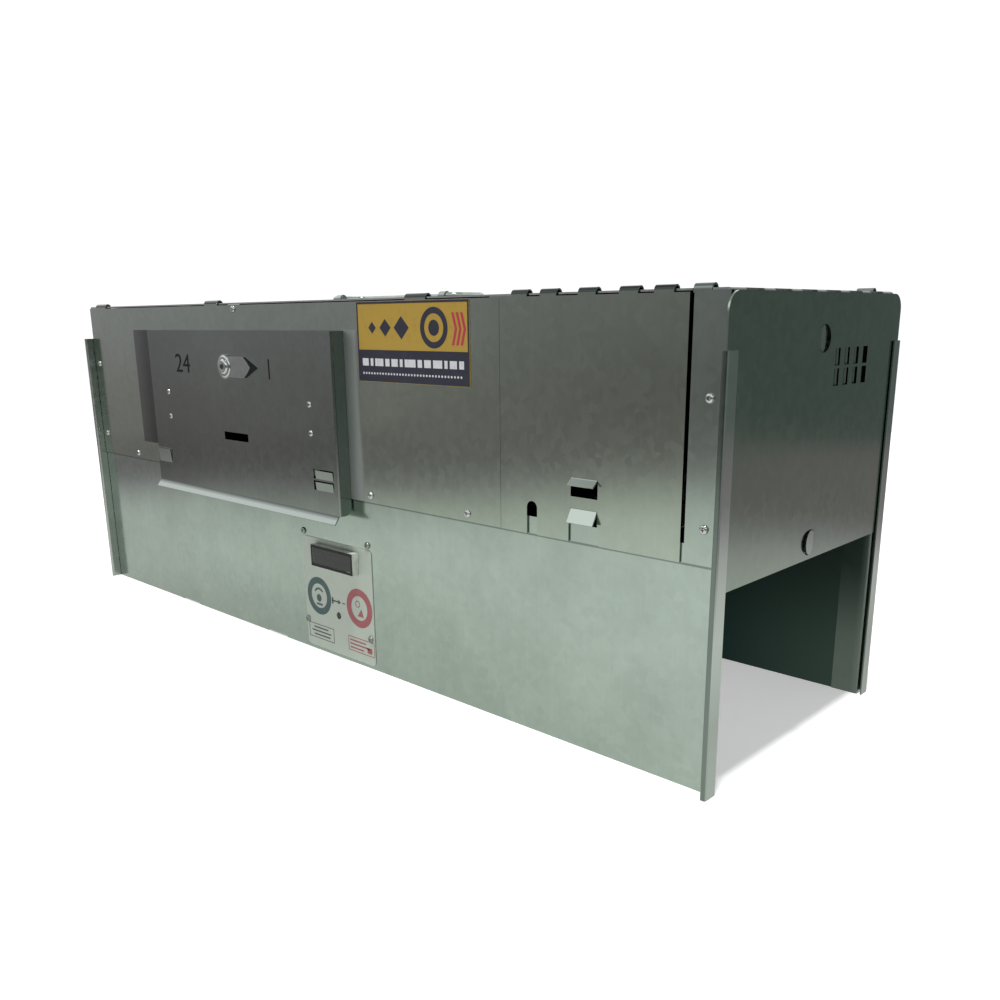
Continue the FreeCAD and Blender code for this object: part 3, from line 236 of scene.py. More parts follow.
def floor_material():
    """Glowing white table, seen by shiny surfaces as a pool of light that fades outwards."""
    paper = bpy.data.materials.new("matt white light table")
    paper.use_nodes = True
    tree = paper.node_tree
    surface = tree.nodes["Principled BSDF"]
    feed(tree, surface, {"Base Color": linear("F2F2F2"), "Roughness": 0.9, "Specular IOR Level": 0.1,
                         "Emission Color": linear("FFFFFF"), "Emission Strength": FLOOR_GLOW})
    place = add(tree, "ShaderNodeTexCoord").outputs["Object"]
    along = add(tree, "ShaderNodeSeparateXYZ", {"Vector": place}).outputs["X"]
    level = add(tree, "ShaderNodeMapRange",
                {"Value": along, "From Min": FAR_LEFT[0], "From Max": FAR_RIGHT[0],
                 "To Min": FAR_LEFT[1], "To Max": FAR_RIGHT[1]})
    for strength, centre, size in POOLS:
        level = with_pool(tree, place, level, strength, centre, size)
    share = add(tree, "ShaderNodeMapRange", {"Value": level, "From Max": POOL_STRENGTH})
    fading = set_stops(add(tree, "ShaderNodeValToRGB", {"Fac": share}), POOL_TINTS)
    pools = add(tree, "ShaderNodeEmission", {"Color": fading, "Strength": POOL_STRENGTH})
    shiny = add(tree, "ShaderNodeLightPath").outputs["Is Glossy Ray"]
    both = add(tree, "ShaderNodeMixShader", {0: shiny, 1: surface, 2: pools})
    feed(tree, tree.nodes["Material Output"], {"Surface": both})
    return paper


def hang_lamp():
    data = bpy.data.lights.new("lamp_overhead", "SUN")
    data.energy = LAMP_STRENGTH
    data.angle = math.radians(LAMP_SPREAD_DEGREES)
    lamp = into_scene("lamp_overhead", data)
    lamp.location = LAMP_PLACE
    lamp.rotation_euler = [math.radians(tilt) for tilt in LAMP_TILT_DEGREES] + [0]


lay_floor()
hang_lamp()
print("floor radius", FLOOR_RADIUS, "m")

# %% [markdown]
# ## Zinc
# Galvanised sheet is steel under a skin of zinc crystals. The eye sees three scales in it: flat
# crystals some millimetres wide that each mirror a little differently, a cloudy dulling over some
# centimetres where the zinc has oxidised, and fine upright rolling lines. Cells give the crystals, a
# soft noise the clouds, and a stretched noise the lines. They change the roughness more than the
# colour, because on metal that is what shows. Real rolling lines are finer than the ones drawn here,
# but they wouldn't show in the picture.

# %% Helpers for materials
def per_metre(size_mm):
    """Scale of a pattern that repeats every so many millimetres."""
    return 1.0 / (size_mm * MM)


def new_material(name):
    """Material with its nodes, its surface and the place of a spot in metres."""
    material = bpy.data.materials.new(name)
    material.use_nodes = True
    tree = material.node_tree
    return material, tree, tree.nodes["Principled BSDF"], add(tree, "ShaderNodeTexCoord").outputs["Object"]


# %% [markdown]
# ## Marks of making and use, and painted light and shade
# Folded and handled sheet isn't even. Dirt settles in the tunnel, and a cut edge is dark where the steel
# shows. Painted shade darkens the tunnel deep inside, the seam under the cover, the corner beside the
# door's left edge, the door's left part, the upward faces of the top folds and of the roof's end folds,
# the top of the door's lip, the faces of the right posts that look forward or back, and the cut openings
# in the gates. Painted light brightens the tunnel near its mouths, the lips that lean up below the top
# folds, the faces of the right posts that look along the trap and the cover beside the door box. The
# right posts darken towards their feet. A mark could be painted by hand, but a rule holds at any size.
# So each mark is a short row of fades, which are multiplied: a fade reads one measure of a spot, is nil
# at its first value and full at its second.

# %% Where the marks lie
# The measures are at, the place in metres, off, its distance from the middle planes, facing, the way
# the face looks, turned, the same without its sign, and outward, which is below nil on inner faces.
SEAM = 0.1812
FOLD_HEIGHT = 0.370


def leaning(start):
    """Bends and lips, which look forward and up."""
    return ("facing", "Z", start, start + 0.15), ("facing", "Z", 0.99, 0.94)


# Inside the tunnel the sheet is dirty and carries painted shade; near the mouths, and on the rim at the
# mouth, painted light makes it paler again.
INSIDE_TUNNEL = (("outward", "Y", -0.02, -0.06),)
INSIDE_NEAR_END = INSIDE_TUNNEL + (("off", "X", 0.30, 0.49),)
LIT_MOUTH_RIM = INSIDE_TUNNEL + (("off", "X", 0.491, 0.494),)
# Painted shade: a fine dark line just under the bottom edge of the cover and the hatch.
COVER_SEAM_SHADE = (("at", "Z", SEAM - 0.0013, SEAM - 0.0005), ("at", "Z", SEAM + 0.0013, SEAM + 0.0005))
# Painted shade on the upward faces of the top folds and hooks.
TOP_FOLD_SHADE = leaning(0.02) + (("at", "Z", FOLD_HEIGHT, FOLD_HEIGHT + 0.005),)
# Painted light on the lips that lean up below the top folds.
LOW_LIP = leaning(0.3) + (("at", "Z", FOLD_HEIGHT, FOLD_HEIGHT - 0.005),)
# Painted shade on the top of the door's lip, where it bends away.
LIP_ROOT_SHADE = LOW_LIP + (("at", "Z", 0.1610, 0.1646),)
# Painted shade on the roof's upward folds at its two ends.
END_FOLD_SHADE = leaning(0.05) + (("off", "X", 0.484, 0.489),)
# Dark cut edges and tabs of the gates: bared steel, with painted shade in the cut openings.
CUT_TAB_EDGE = (("turned", "X", 0.6, 0.35), ("off", "Y", 0.126, 0.122))
# Painted light: the cover beside the door box is paler, and also rougher.
BESIDE_BOX_LIGHT = (("at", "X", 0.060, 0.064), ("at", "X", 0.090, 0.084),
              ("at", "Z", 0.162, 0.166), ("at", "Z", 0.354, 0.350))
# Painted shade: the door is darker towards its left part.
LEFT_SIDE_SHADE = (("at", "X", -0.15, -0.33),)
# Painted shadow on the wing, in the corner beside the door box's left edge.
WING_CORNER_SHADOW = (("at", "Y", -0.147, -0.145), ("at", "X", -0.375, -0.342), ("at", "X", -0.30, -0.303))
# The right posts are darker towards the bottom.
POST_FOOT = (("at", "Z", 0.13, 0.06),)
# Painted shade on the faces of the right posts that look forward or back.
POST_FACE_SHADE = (("turned", "Y", 0.5, 0.8), ("off", "X", 0.488, 0.492))
# Painted light on the faces of the right posts that look along the trap.
OUTER_FLANK_LIGHT = (("turned", "X", 0.6, 0.8),)


def measures(tree, place):
    """Sockets of all that a fade can read."""
    normal = add(tree, "ShaderNodeNewGeometry").outputs["Normal"]
    vectors = {"at": place, "facing": normal,
               "off": add(tree, "ShaderNodeVectorMath", {0: place}, operation="ABSOLUTE"),
               "turned": add(tree, "ShaderNodeVectorMath", {0: normal}, operation="ABSOLUTE"),
               "outward": add(tree, "ShaderNodeVectorMath", {0: place, 1: normal}, operation="MULTIPLY")}
    return {name: add(tree, "ShaderNodeSeparateXYZ", {"Vector": vector}).outputs
            for name, vector in vectors.items()}


def mark_share(tree, measured, fades, strength):
    """How much of a mark shows at a spot: its strength times all its fades."""
    share = strength
    for measure, axis, nil, full in fades:
        fade = add(tree, "ShaderNodeMapRange",
                   {"Value": measured[measure][axis], "From Min": nil, "From Max": full})
        share = add(tree, "ShaderNodeMath", {0: fade, 1: share}, operation="MULTIPLY")
    return share


print("fades of the strip beside the box", len(BESIDE_BOX_LIGHT))

# %% Galvanised sheet
# A cloud turns from dark to light between two values of the noise. Below are the shares by which the
# colour and the roughness swing.
CLOUDS = (0.32, 0.68)
SPARK = 0.07
GLOSS_SWING = 0.1
ROLLING_LINE_MM = 2.5
SPANGLE_DEPTH_MM = 0.2


def zinc_sheet(name, light, dark, roughness, crystal_mm=7.0, cloud_mm=60.0, line_scale=(1.0, 1.0, 0.03),
               relief=0.02, marks=()):
    """Galvanised sheet, its colour between two tones and its gloss broken by the crystals.

    A mark is its fades, its strength, its colour, which stands for dirt, bared steel, painted shade
    or painted light, and, where it dulls, how much rougher it is.
    """
    material, tree, surface, place = new_material(name)
    clouds = add(tree, "ShaderNodeTexNoise",
                 {"Vector": place, "Scale": per_metre(cloud_mm), "Detail": 5.0, "Roughness": 0.6})
    cells = add(tree, "ShaderNodeTexVoronoi", {"Vector": place, "Scale": per_metre(crystal_mm)})
    crystal = add(tree, "ShaderNodeSeparateColor", {"Color": cells.outputs["Color"]})
    stretched = add(tree, "ShaderNodeMapping", {"Vector": place, "Scale": line_scale})
    lines = add(tree, "ShaderNodeTexNoise",
                {"Vector": stretched, "Scale": per_metre(ROLLING_LINE_MM), "Detail": 3.0})
    grain = add(tree, "ShaderNodeMath", {0: crystal, 1: lines}, operation="ADD")
    dulled = add(tree, "ShaderNodeMapRange", {"Value": clouds, "From Min": CLOUDS[0], "From Max": CLOUDS[1]})
    tone = add(tree, "ShaderNodeMix", {0: dulled, 6: linear(dark), 7: linear(light)},
               data_type="RGBA").outputs[2]
    spark = add(tree, "ShaderNodeMapRange",
                {"Value": grain, "From Max": 2.0, "To Min": 1 - SPARK, "To Max": 1 + SPARK})
    colour = add(tree, "ShaderNodeVectorMath", {0: tone, "Scale": spark}, operation="SCALE")
    swing = GLOSS_SWING * roughness
    cloudy = add(tree, "ShaderNodeMapRange",
                 {"Value": clouds, "From Min": 0.3, "From Max": 0.7,
                  "To Min": roughness + swing, "To Max": roughness - swing})
    broken = add(tree, "ShaderNodeMapRange", {"Value": crystal, "To Min": -swing, "To Max": swing})
    rough = add(tree, "ShaderNodeMath", {0: cloudy, 1: broken}, operation="ADD")
    measured = measures(tree, place) if marks else {}
    for fades, strength, mark_colour, *dulling in marks:
        share = mark_share(tree, measured, fades, strength)
        colour = add(tree, "ShaderNodeMix", {0: share, 6: colour, 7: linear(mark_colour)},
                     data_type="RGBA").outputs[2]
        if dulling:
            rough = add(tree, "ShaderNodeMath", {0: share, 1: dulling[0], 2: rough},
                        operation="MULTIPLY_ADD")
    bump = add(tree, "ShaderNodeBump",
               {"Height": grain, "Strength": relief, "Distance": SPANGLE_DEPTH_MM * MM})
    feed(tree, surface, {"Base Color": colour, "Roughness": rough, "Metallic": 1.0, "Normal": bump})
    return material


# %% Finishes of the sheet
# Weathered hot-dip zinc mirrors softly and greenish. Its stains are dirt and bared steel; the other
# marks are painted shade and painted light, and inside the tunnel dirt and painted shade lie together.
INSIDE = ((INSIDE_TUNNEL, 1.0, "102422", 0.25), (INSIDE_NEAR_END, 1.0, "37463F"))
side_zinc = zinc_sheet("galvanised sheet, dulled outdoors", "9AA99F", "91A096", 0.16, marks=INSIDE + (
    (COVER_SEAM_SHADE, 0.55, "2C3230"), (TOP_FOLD_SHADE, 1.0, "6E7672")))
cover_zinc = zinc_sheet("galvanised sheet, smooth", "96A496", "929F92", 0.15, relief=0.01, marks=(
    (LOW_LIP, 1.0, "9DA8A1"), (TOP_FOLD_SHADE, 1.0, "363C3A"), (BESIDE_BOX_LIGHT, 1.0, "A2A9A5", 0.38)))
door_zinc = zinc_sheet("galvanised sheet, handled", "7D8780", "78817A", 0.17, marks=(
    (LEFT_SIDE_SHADE, 0.5, "565E5A"), (WING_CORNER_SHADOW, 0.62, "2E3331"), (LOW_LIP, 1.0, "8F9793"),
    (LIP_ROOT_SHADE, 1.0, "4C524F")))
pointer_zinc = zinc_sheet("galvanised sheet, pointer", "A2ABA6", "969F9A", 0.19)
gate_zinc = zinc_sheet("galvanised sheet at the ends", "94A396", "909F92", 0.17, marks=(
    (CUT_TAB_EDGE, 1.0, "1E2422"),))
post_zinc = zinc_sheet("galvanised strip", "97A59C", "8C9A91", 0.20, marks=INSIDE + (
    (LIT_MOUTH_RIM, 1.0, "6E7E76"), (POST_FACE_SHADE, 0.8, "56635C"), (OUTER_FLANK_LIGHT, 1.0, "B4C0B8"),
    (POST_FOOT, 0.6, "6E7A72")))
# The left posts take a paler copy of the post zinc: painted light.
left_posts_painted_light = zinc_sheet("galvanised strip, paler", "AEB5B0", "A2AAA4", 0.28, marks=INSIDE + (
    (LIT_MOUTH_RIM, 1.0, "6E7E76"),))
roof_zinc = zinc_sheet("galvanised sheet, roof", "B6BCB9", "AAB1AD", 0.25, marks=(
    (END_FOLD_SHADE, 1.0, "3A403E"),))
print("materials so far", len(bpy.data.materials))

# %% [markdown]
# ## Brighter metal
# Screws, rivets and the carrying handle are plated with bright zinc, which is smoother and paler than
# the hot-dip skin of the sheet. The electrodes and the bait tray are stainless, rolled with a fine
# grain in one direction, so the same recipe with other sizes serves them all.

# %% Bright zinc and stainless
bright_zinc = zinc_sheet("bright zinc plating", "B8BDBA", "A6ABA8", 0.14, crystal_mm=0.8, cloud_mm=6.0)
handle_zinc = zinc_sheet("bright zinc rod", "9AA39D", "8A938D", 0.28, crystal_mm=1.2, cloud_mm=15.0)
dull_zinc = zinc_sheet("zinc plating gone dull", "8E968F", "7C847E", 0.36, crystal_mm=0.8, cloud_mm=6.0)
stainless = zinc_sheet("rolled stainless", "C9CBCB", "BBBEBE", 0.26, crystal_mm=0.5, cloud_mm=25.0,
                       line_scale=(1.0, 0.02, 1.0), relief=0.08)
print("materials so far", len(bpy.data.materials))

# %% [markdown]
# ## Plastics and laminate
# Moulded plastic has a fine grain from its mould and rubs paler where hands reach it. One recipe
# makes all of them: a grain of some tenths of a millimetre in the relief, and slow patches of dust
# in the colour and the gloss.

# %% Moulded plastic
DUST_ROUGHNESS = 0.15
MOULD_GRAIN_STRENGTH = 0.12
MOULD_GRAIN_DEPTH_MM = 0.1


def moulded(name, colour, dusty, roughness, grain_mm=0.4, patch_mm=35.0):
    material, tree, surface, place = new_material(name)
    grain = add(tree, "ShaderNodeTexNoise", {"Vector": place, "Scale": per_metre(grain_mm), "Detail": 2.0})
    patch = add(tree, "ShaderNodeTexNoise", {"Vector": place, "Scale": per_metre(patch_mm), "Detail": 4.0})
    dust = add(tree, "ShaderNodeMapRange", {"Value": patch, "From Min": 0.35, "From Max": 0.7})
    colour = add(tree, "ShaderNodeMix", {0: dust, 6: linear(colour), 7: linear(dusty)},
                 data_type="RGBA").outputs[2]
    rough = add(tree, "ShaderNodeMapRange",
                {"Value": dust, "To Min": roughness, "To Max": roughness + DUST_ROUGHNESS})
    bump = add(tree, "ShaderNodeBump", {"Height": grain, "Strength": MOULD_GRAIN_STRENGTH,
                                        "Distance": MOULD_GRAIN_DEPTH_MM * MM})
    feed(tree, surface, {"Base Color": colour, "Roughness": rough, "Normal": bump})
    return material


black_plastic = moulded("black moulded plastic", "1B1C1B", "2C2E2C", 0.42)
battery_plastic = moulded("black battery case", "17181A", "2B2C2E", 0.50)
potted_plastic = moulded("grey potted case", "2E3032", "424547", 0.55)
bed_plastic = moulded("sawn white polyethylene", "D8D8D0", "BFBFB4", 0.60, grain_mm=1.5, patch_mm=60.0)
laminate = moulded("green circuit laminate", "1C4A2B", "24573A", 0.35, grain_mm=0.25)
print("materials so far", len(bpy.data.materials))

# %% [markdown]
# ## The display
# A two-line character display is a clear window over a dark field of cells, one for each character,
# which stay faintly visible when the display is off. A value that goes to and fro across the window,
# one for each direction, draws the cells at their real pitch.

# %% Display window
CELL_COLUMNS_MM = 3.55
CELL_ROWS_MM = 7.0
# Half the gap between two cells runs from the first value, and the cell is full at the second.
COLUMN_GAP_MM = (0.15, 0.35)
ROW_GAP_MM = (0.35, 0.65)
SMEAR_MM = 12.0
CASE_PATCH_MM = 9.0
WINDOW_SHINE = 0.28
CASE_SHINE = 0.2


def display_material():
    """Clear window over dark character cells, with a few smears."""
    material, tree, surface, place = new_material("display window, off")
    parts = add(tree, "ShaderNodeSeparateXYZ", {"Vector": place}).outputs
    cell = 1.0
    for axis, pitch, gap in (("X", CELL_COLUMNS_MM, COLUMN_GAP_MM), ("Z", CELL_ROWS_MM, ROW_GAP_MM)):
        fold = add(tree, "ShaderNodeMath", {0: parts[axis], 1: pitch * MM / 2}, operation="PINGPONG")
        inside = add(tree, "ShaderNodeMapRange",
                     {"Value": fold, "From Min": gap[0] * MM, "From Max": gap[1] * MM})
        cell = add(tree, "ShaderNodeMath", {0: inside, 1: cell}, operation="MULTIPLY")
    smear = add(tree, "ShaderNodeTexNoise", {"Vector": place, "Scale": per_metre(SMEAR_MM), "Detail": 3.0})
    off = add(tree, "ShaderNodeMix", {0: cell, 6: linear("151B18"), 7: linear("232A26")},
              data_type="RGBA").outputs[2]
    smeared = add(tree, "ShaderNodeMapRange",
                  {"Value": smear, "From Min": 0.3, "From Max": 0.7, "To Max": 0.35})
    colour = add(tree, "ShaderNodeMix", {0: smeared, 6: off, 7: linear("242A26")},
                 data_type="RGBA").outputs[2]
    rough = add(tree, "ShaderNodeMapRange",
                {"Value": smear, "From Min": 0.3, "From Max": 0.7, "To Min": 0.08, "To Max": 0.2})
    feed(tree, surface, {"Base Color": colour, "Roughness": rough, "Specular IOR Level": WINDOW_SHINE})
    return material


def display_case_material():
    """Pale moulding, black where it looks forward or back."""
    material, tree, surface, place = new_material("pale display case, black front")
    normal = add(tree, "ShaderNodeNewGeometry").outputs["Normal"]
    facing = add(tree, "ShaderNodeSeparateXYZ", {"Vector": normal}).outputs["Y"]
    level = add(tree, "ShaderNodeMath", {0: facing}, operation="ABSOLUTE")
    front = add(tree, "ShaderNodeMapRange", {"Value": level, "From Min": 0.5, "From Max": 0.8})
    patch = add(tree, "ShaderNodeTexNoise",
                {"Vector": place, "Scale": per_metre(CASE_PATCH_MM), "Detail": 4.0})
    dust = add(tree, "ShaderNodeMapRange", {"Value": patch, "From Min": 0.35, "From Max": 0.7})
    pale = add(tree, "ShaderNodeMix", {0: dust, 6: linear("D4D8D0"), 7: linear("B4BAB2")},
               data_type="RGBA").outputs[2]
    colour = add(tree, "ShaderNodeMix", {0: front, 6: pale, 7: linear("0A0C0B")},
                 data_type="RGBA").outputs[2]
    rough = add(tree, "ShaderNodeMapRange",
                {"Value": patch, "From Min": 0.3, "From Max": 0.7, "To Min": 0.35, "To Max": 0.5})
    feed(tree, surface, {"Base Color": colour, "Roughness": rough, "Specular IOR Level": CASE_SHINE})
    return material


display_glass = display_material()
display_case = display_case_material()
print("cell pitch", CELL_COLUMNS_MM, "mm")

# %% [markdown]
# ## Prints
# The emblem and the label are thin plates with printed colour. The ink has a slight orange peel and
# wears pale where it is rubbed. The base colour of each plate is one such ink, and the motifs on it
# are thin pieces of their own, so that they stay crisp at any distance.

# %% Printed ink
PEEL_MM = 0.7
PEEL_STRENGTH = 0.05
PEEL_DEPTH_MM = 0.1


def ink(name, colour, worn, roughness=0.45, wear_mm=8.0, shine=0.5):
    material, tree, surface, place = new_material(name)
    wear = add(tree, "ShaderNodeTexNoise",
               {"Vector": place, "Scale": per_metre(wear_mm), "Detail": 6.0, "Roughness": 0.7})
    peel = add(tree, "ShaderNodeTexNoise", {"Vector": place, "Scale": per_metre(PEEL_MM), "Detail": 1.0})
    rubbed = add(tree, "ShaderNodeMapRange", {"Value": wear, "From Min": 0.52, "From Max": 0.80})
    colour = add(tree, "ShaderNodeMix", {0: rubbed, 6: linear(colour), 7: linear(worn)},
                 data_type="RGBA").outputs[2]
    rough = add(tree, "ShaderNodeMapRange",
                {"Value": wear, "From Min": 0.3, "From Max": 0.7,
                 "To Min": roughness - 0.06, "To Max": roughness + 0.1})
    bump = add(tree, "ShaderNodeBump",
               {"Height": peel, "Strength": PEEL_STRENGTH, "Distance": PEEL_DEPTH_MM * MM})
    feed(tree, surface, {"Base Color": colour, "Roughness": rough, "Specular IOR Level": shine,
                         "Normal": bump})
    return material


yellow_ink = ink("yellow print", "B39334", "A58832")
navy_ink = ink("navy print", "1A1D2E", "2A2E40")
pale_ink = ink("pale print", "D9DBDD", "B9BCC0")
red_ink = ink("red print", "B2303F", "B9505A")
label_paper = ink("label film", "AFB9AD", "A7B1A5", 0.5, 20.0)
label_blue = ink("blue label print", "31504F", "4F6F6D", 0.5)
label_red = ink("red label print", "964D50", "A66C6B", 0.5)
label_dark = ink("dark label print", "3E4947", "5F6A67", 0.5)
print("materials so far", len(bpy.data.materials))


# %% Finishes for the pieces of the model
def coat(material, *names):
    for name in names:
        nodes[name].data.materials.clear()
        nodes[name].data.materials.append(material)


coat(side_zinc, "front_side_panel", "rear_side_panel")
coat(cover_zinc, "front_cover", "hatch")
coat(door_zinc, "door_cover", "door_hooks", "latch_tongue")
coat(pointer_zinc, "setting_pointer")
coat(gate_zinc, "right_gate", "left_gate")
coat(post_zinc, "front_right_guide_post", "rear_right_guide_post")
coat(left_posts_painted_light, "front_left_guide_post", "rear_left_guide_post")
coat(roof_zinc, "roof_sheet", "tunnel_roof", "bulkhead", "control_box")
coat(handle_zinc, "carrying_handle", "handle_saddles")
coat(stainless, "live_plates", "earth_plates", "bait_tray", "battery_strap")
coat(bright_zinc, "pointer_nut", "board_spacers", "board_nuts", "electrode_screws")
coat(yellow_ink, "emblem_plate")
coat(label_paper, "label_plate")
coat(display_case, "display_housing")
coat(display_glass, "display_window")
coat(laminate, "control_board")
coat(black_plastic, "switch_body", "push_button")
coat(bed_plastic, "electrode_board")
coat(battery_plastic, "battery")
coat(potted_plastic, "high_voltage_unit")
print("coated", len([node for node in nodes.values() if node.data.materials]))

# %% [markdown]
# ## Screws
# Every screw is a pan head with a cross recess on a round shank. One head is modelled once: a turned
# profile with the recess cut by a boolean. A Geometry Nodes tree then puts it at every point of a
# small point cloud and adds a shank of the length that the point carries. A random turn about the
# axis, with a fixed seed, keeps the recesses from lining up, as in real assembly.

# %% Where the model has its fasteners
FASTENER_REACH = 12.0 * MM


def clusters(node):
    """Lowest and highest corner of each separate small piece in one node."""
    found = []
    for vertex in nodes[node].data.vertices:
        for low, high in found:
            middle = (low + high) / 2
            near = all(abs(vertex.co[axis] - middle[axis]) < FASTENER_REACH for axis in (0, 2))
            if near and vertex.co.y * middle.y > 0:
                for axis in range(3):
                    low[axis] = min(low[axis], vertex.co[axis])
                    high[axis] = max(high[axis], vertex.co[axis])
                break
        else:
            found.append((vertex.co.copy(), vertex.co.copy()))
    return found


for name in ("cover_screws", "post_screws", "label_screws", "door_rivets"):
    print(name, len(clusters(name)))


# %% Turned shapes
def turned(name, profile, segments=32, hexagons=()):
    """Closed mesh turned about the Y axis from (radius, depth) pairs in millimetres.

    Rows of the profile that are named as hexagons run round a socket with six sides.
    """
    mesh = bpy.data.meshes.new(name)
    shape = bmesh.new()
    rings = []
    for index, (radius, depth) in enumerate(profile):
        if radius == 0:
            rings.append([shape.verts.new((0, depth * MM, 0))])
            continue
        ring = []
        for step in range(segments):
            angle = 2 * math.pi * step / segments
            reach = radius * MM
            if index in hexagons:
                sixth = (angle + math.pi / 6) % (math.pi / 3) - math.pi / 6
                reach *= math.cos(math.pi / 6) / math.cos(sixth)
            corner = (reach * math.cos(angle), depth * MM, reach * math.sin(angle))
            ring.append(shape.verts.new(corner))
        rings.append(ring)
    for first, second in zip(rings, rings[1:]):
        for step in range(segments):
            after = (step + 1) % segments
            corners = [first[step % len(first)], first[after % len(first)],
                       second[after % len(second)], second[step % len(second)]]
            shape.faces.new(list(dict.fromkeys(corners)))
    bmesh.ops.recalc_face_normals(shape, faces=shape.faces)
    shape.to_mesh(mesh)
    shape.free()
    return mesh


def pan_profile(radius, height, flat, steps, inner=0.0):
    """Flat top from an inner radius out to the flat's edge, then a rounded rim down to the seat."""
    turns = [math.pi / 2 * step / steps for step in range(steps + 1)]
    rim = [(flat + (radius - flat) * math.sin(turn), -height * math.cos(turn)) for turn in turns]
    return [(inner, -height)] + rim


# %% A pan head with a cross recess
SCREW_HEAD_RADIUS_MM = 3.8
SCREW_HEAD_HEIGHT_MM = 2.2
SCREW_HEAD_FLAT_MM = 1.7
SCREW_SHANK_RADIUS_MM = 1.9
RECESS_ARM_MM = 4.6
RECESS_WIDTH_MM = 1.0
RECESS_DEPTH_MM = 1.5
RECESS_MARGIN_MM = 1.0
# Length and width at the bottom of the recess, as shares of those at its mouth.
RECESS_TAPER = (0.35, 0.7)


def recess_cutter():
    """Cross of two arms that narrow with depth, and that start clear of the head."""
    shape = bmesh.new()
    for turn in (0, math.pi / 2):
        arm = bmesh.ops.create_cube(shape, size=1.0)["verts"]
        for vertex in arm:
            deep = vertex.co.y > 0
            along, across = RECESS_TAPER if deep else (1.0, 1.0)
            below_top = RECESS_DEPTH_MM if deep else -RECESS_MARGIN_MM
            vertex.co = Vector((vertex.co.x * RECESS_ARM_MM * along, below_top - SCREW_HEAD_HEIGHT_MM,
                                vertex.co.z * RECESS_WIDTH_MM * across)) * MM
        bmesh.ops.rotate(shape, verts=arm, matrix=Matrix.Rotation(turn, 3, "Y"))
    mesh = bpy.data.meshes.new("recess")
    shape.to_mesh(mesh)
    shape.free()
    return mesh


def baked(piece):
    """Mesh that an object's modifiers make."""
    bpy.context.view_layer.update()
    graph = bpy.context.evaluated_depsgraph_get()
    return bpy.data.meshes.new_from_object(piece.evaluated_get(graph))


def screw_head():
    pan = pan_profile(SCREW_HEAD_RADIUS_MM, SCREW_HEAD_HEIGHT_MM, SCREW_HEAD_FLAT_MM, 8)
    head = into_scene("screw_head", turned("screw_head", pan + [(0, 0.0)]))
    cutter = into_scene("recess", recess_cutter())
    cut = head.modifiers.new("recess", "BOOLEAN")
    cut.object = cutter
    cut.solver = "EXACT"
    cut.use_self = True
    finished = baked(head)
    head.modifiers.clear()
    bpy.data.objects.remove(cutter)
    head.data = finished
    return head


master_head = screw_head()
print("screw head", len(master_head.data.polygons), "faces")


# %% The tree that sets screws
def new_tree(name, inputs):
    tree = bpy.data.node_groups.new(name, "GeometryNodeTree")
    for label, kind in (("Points", "NodeSocketGeometry"),) + inputs:
        tree.interface.new_socket(name=label, in_out="INPUT", socket_type=kind)
    tree.interface.new_socket(name="Geometry", in_out="OUTPUT", socket_type="NodeSocketGeometry")
    return tree


def fastener_tree():
    """Head on every point, turned at random, with a shank as long as the point says."""
    tree = new_tree("fasteners", (("Head", "NodeSocketObject"), ("Shank radius", "NodeSocketFloat"),
                                  ("Finish", "NodeSocketMaterial"), ("Seed", "NodeSocketInt")))
    given = add(tree, "NodeGroupInput").outputs
    shank = add(tree, "GeometryNodeInputNamedAttribute", {"Name": "shank"}, data_type="FLOAT")
    half_turn = add(tree, "GeometryNodeInputNamedAttribute", {"Name": "half_turn"}, data_type="FLOAT")
    spin = add(tree, "FunctionNodeRandomValue", {"Min": 0.0, "Max": math.pi / 2, "Seed": given["Seed"]},
               data_type="FLOAT")
    spin_value = next(s for s in spin.outputs if s.enabled and s.type == "VALUE")
    turn = add(tree, "ShaderNodeCombineXYZ", {"Y": spin_value, "Z": half_turn})
    head = add(tree, "GeometryNodeObjectInfo", {"Object": given["Head"]}).outputs["Geometry"]
    heads = add(tree, "GeometryNodeInstanceOnPoints",
                {"Points": given["Points"], "Instance": head, "Rotation": turn})
    rod = add(tree, "GeometryNodeMeshCylinder",
              {"Vertices": 20, "Radius": given["Shank radius"], "Depth": 1.0}).outputs["Mesh"]
    laid = add(tree, "GeometryNodeTransform",
               {"Geometry": rod, "Translation": (0, 0.5, 0), "Rotation": (math.pi / 2, 0, 0)})
    stretch = add(tree, "ShaderNodeCombineXYZ", {"X": 1.0, "Y": shank, "Z": 1.0})
    shanks = add(tree, "GeometryNodeInstanceOnPoints",
                 {"Points": given["Points"], "Instance": laid, "Rotation": turn, "Scale": stretch})
    both = add(tree, "GeometryNodeJoinGeometry")
    feed(tree, both, {0: heads})
    feed(tree, both, {0: shanks})
    plain = add(tree, "GeometryNodeRealizeInstances", {"Geometry": both})
    finished = add(tree, "GeometryNodeSetMaterial", {"Geometry": plain, "Material": given["Finish"]})
    add(tree, "NodeGroupOutput", {"Geometry": finished})
    return tree


def set_on_points(name, tree, points, attributes, inputs):
    """Run a tree on a point cloud and return its result as a plain mesh object."""
    cloud = bpy.data.meshes.new(name)
    cloud.from_pydata(points, [], [])
    for label, values in attributes.items():
        cloud.attributes.new(label, "FLOAT", "POINT").data.foreach_set("value", values)
    holder = into_scene(name + "_points", cloud)
    modifier = holder.modifiers.new("tree", "NODES")
    modifier.node_group = tree
    for socket in tree.interface.items_tree:
        if socket.in_out == "INPUT" and socket.name in inputs:
            modifier[socket.identifier] = inputs[socket.name]
    mesh = baked(holder)
    holder.modifiers.clear()
    bpy.data.objects.remove(holder)
    return into_scene(name, mesh)


screw_tree = fastener_tree()
print("tree nodes", len(screw_tree.nodes))


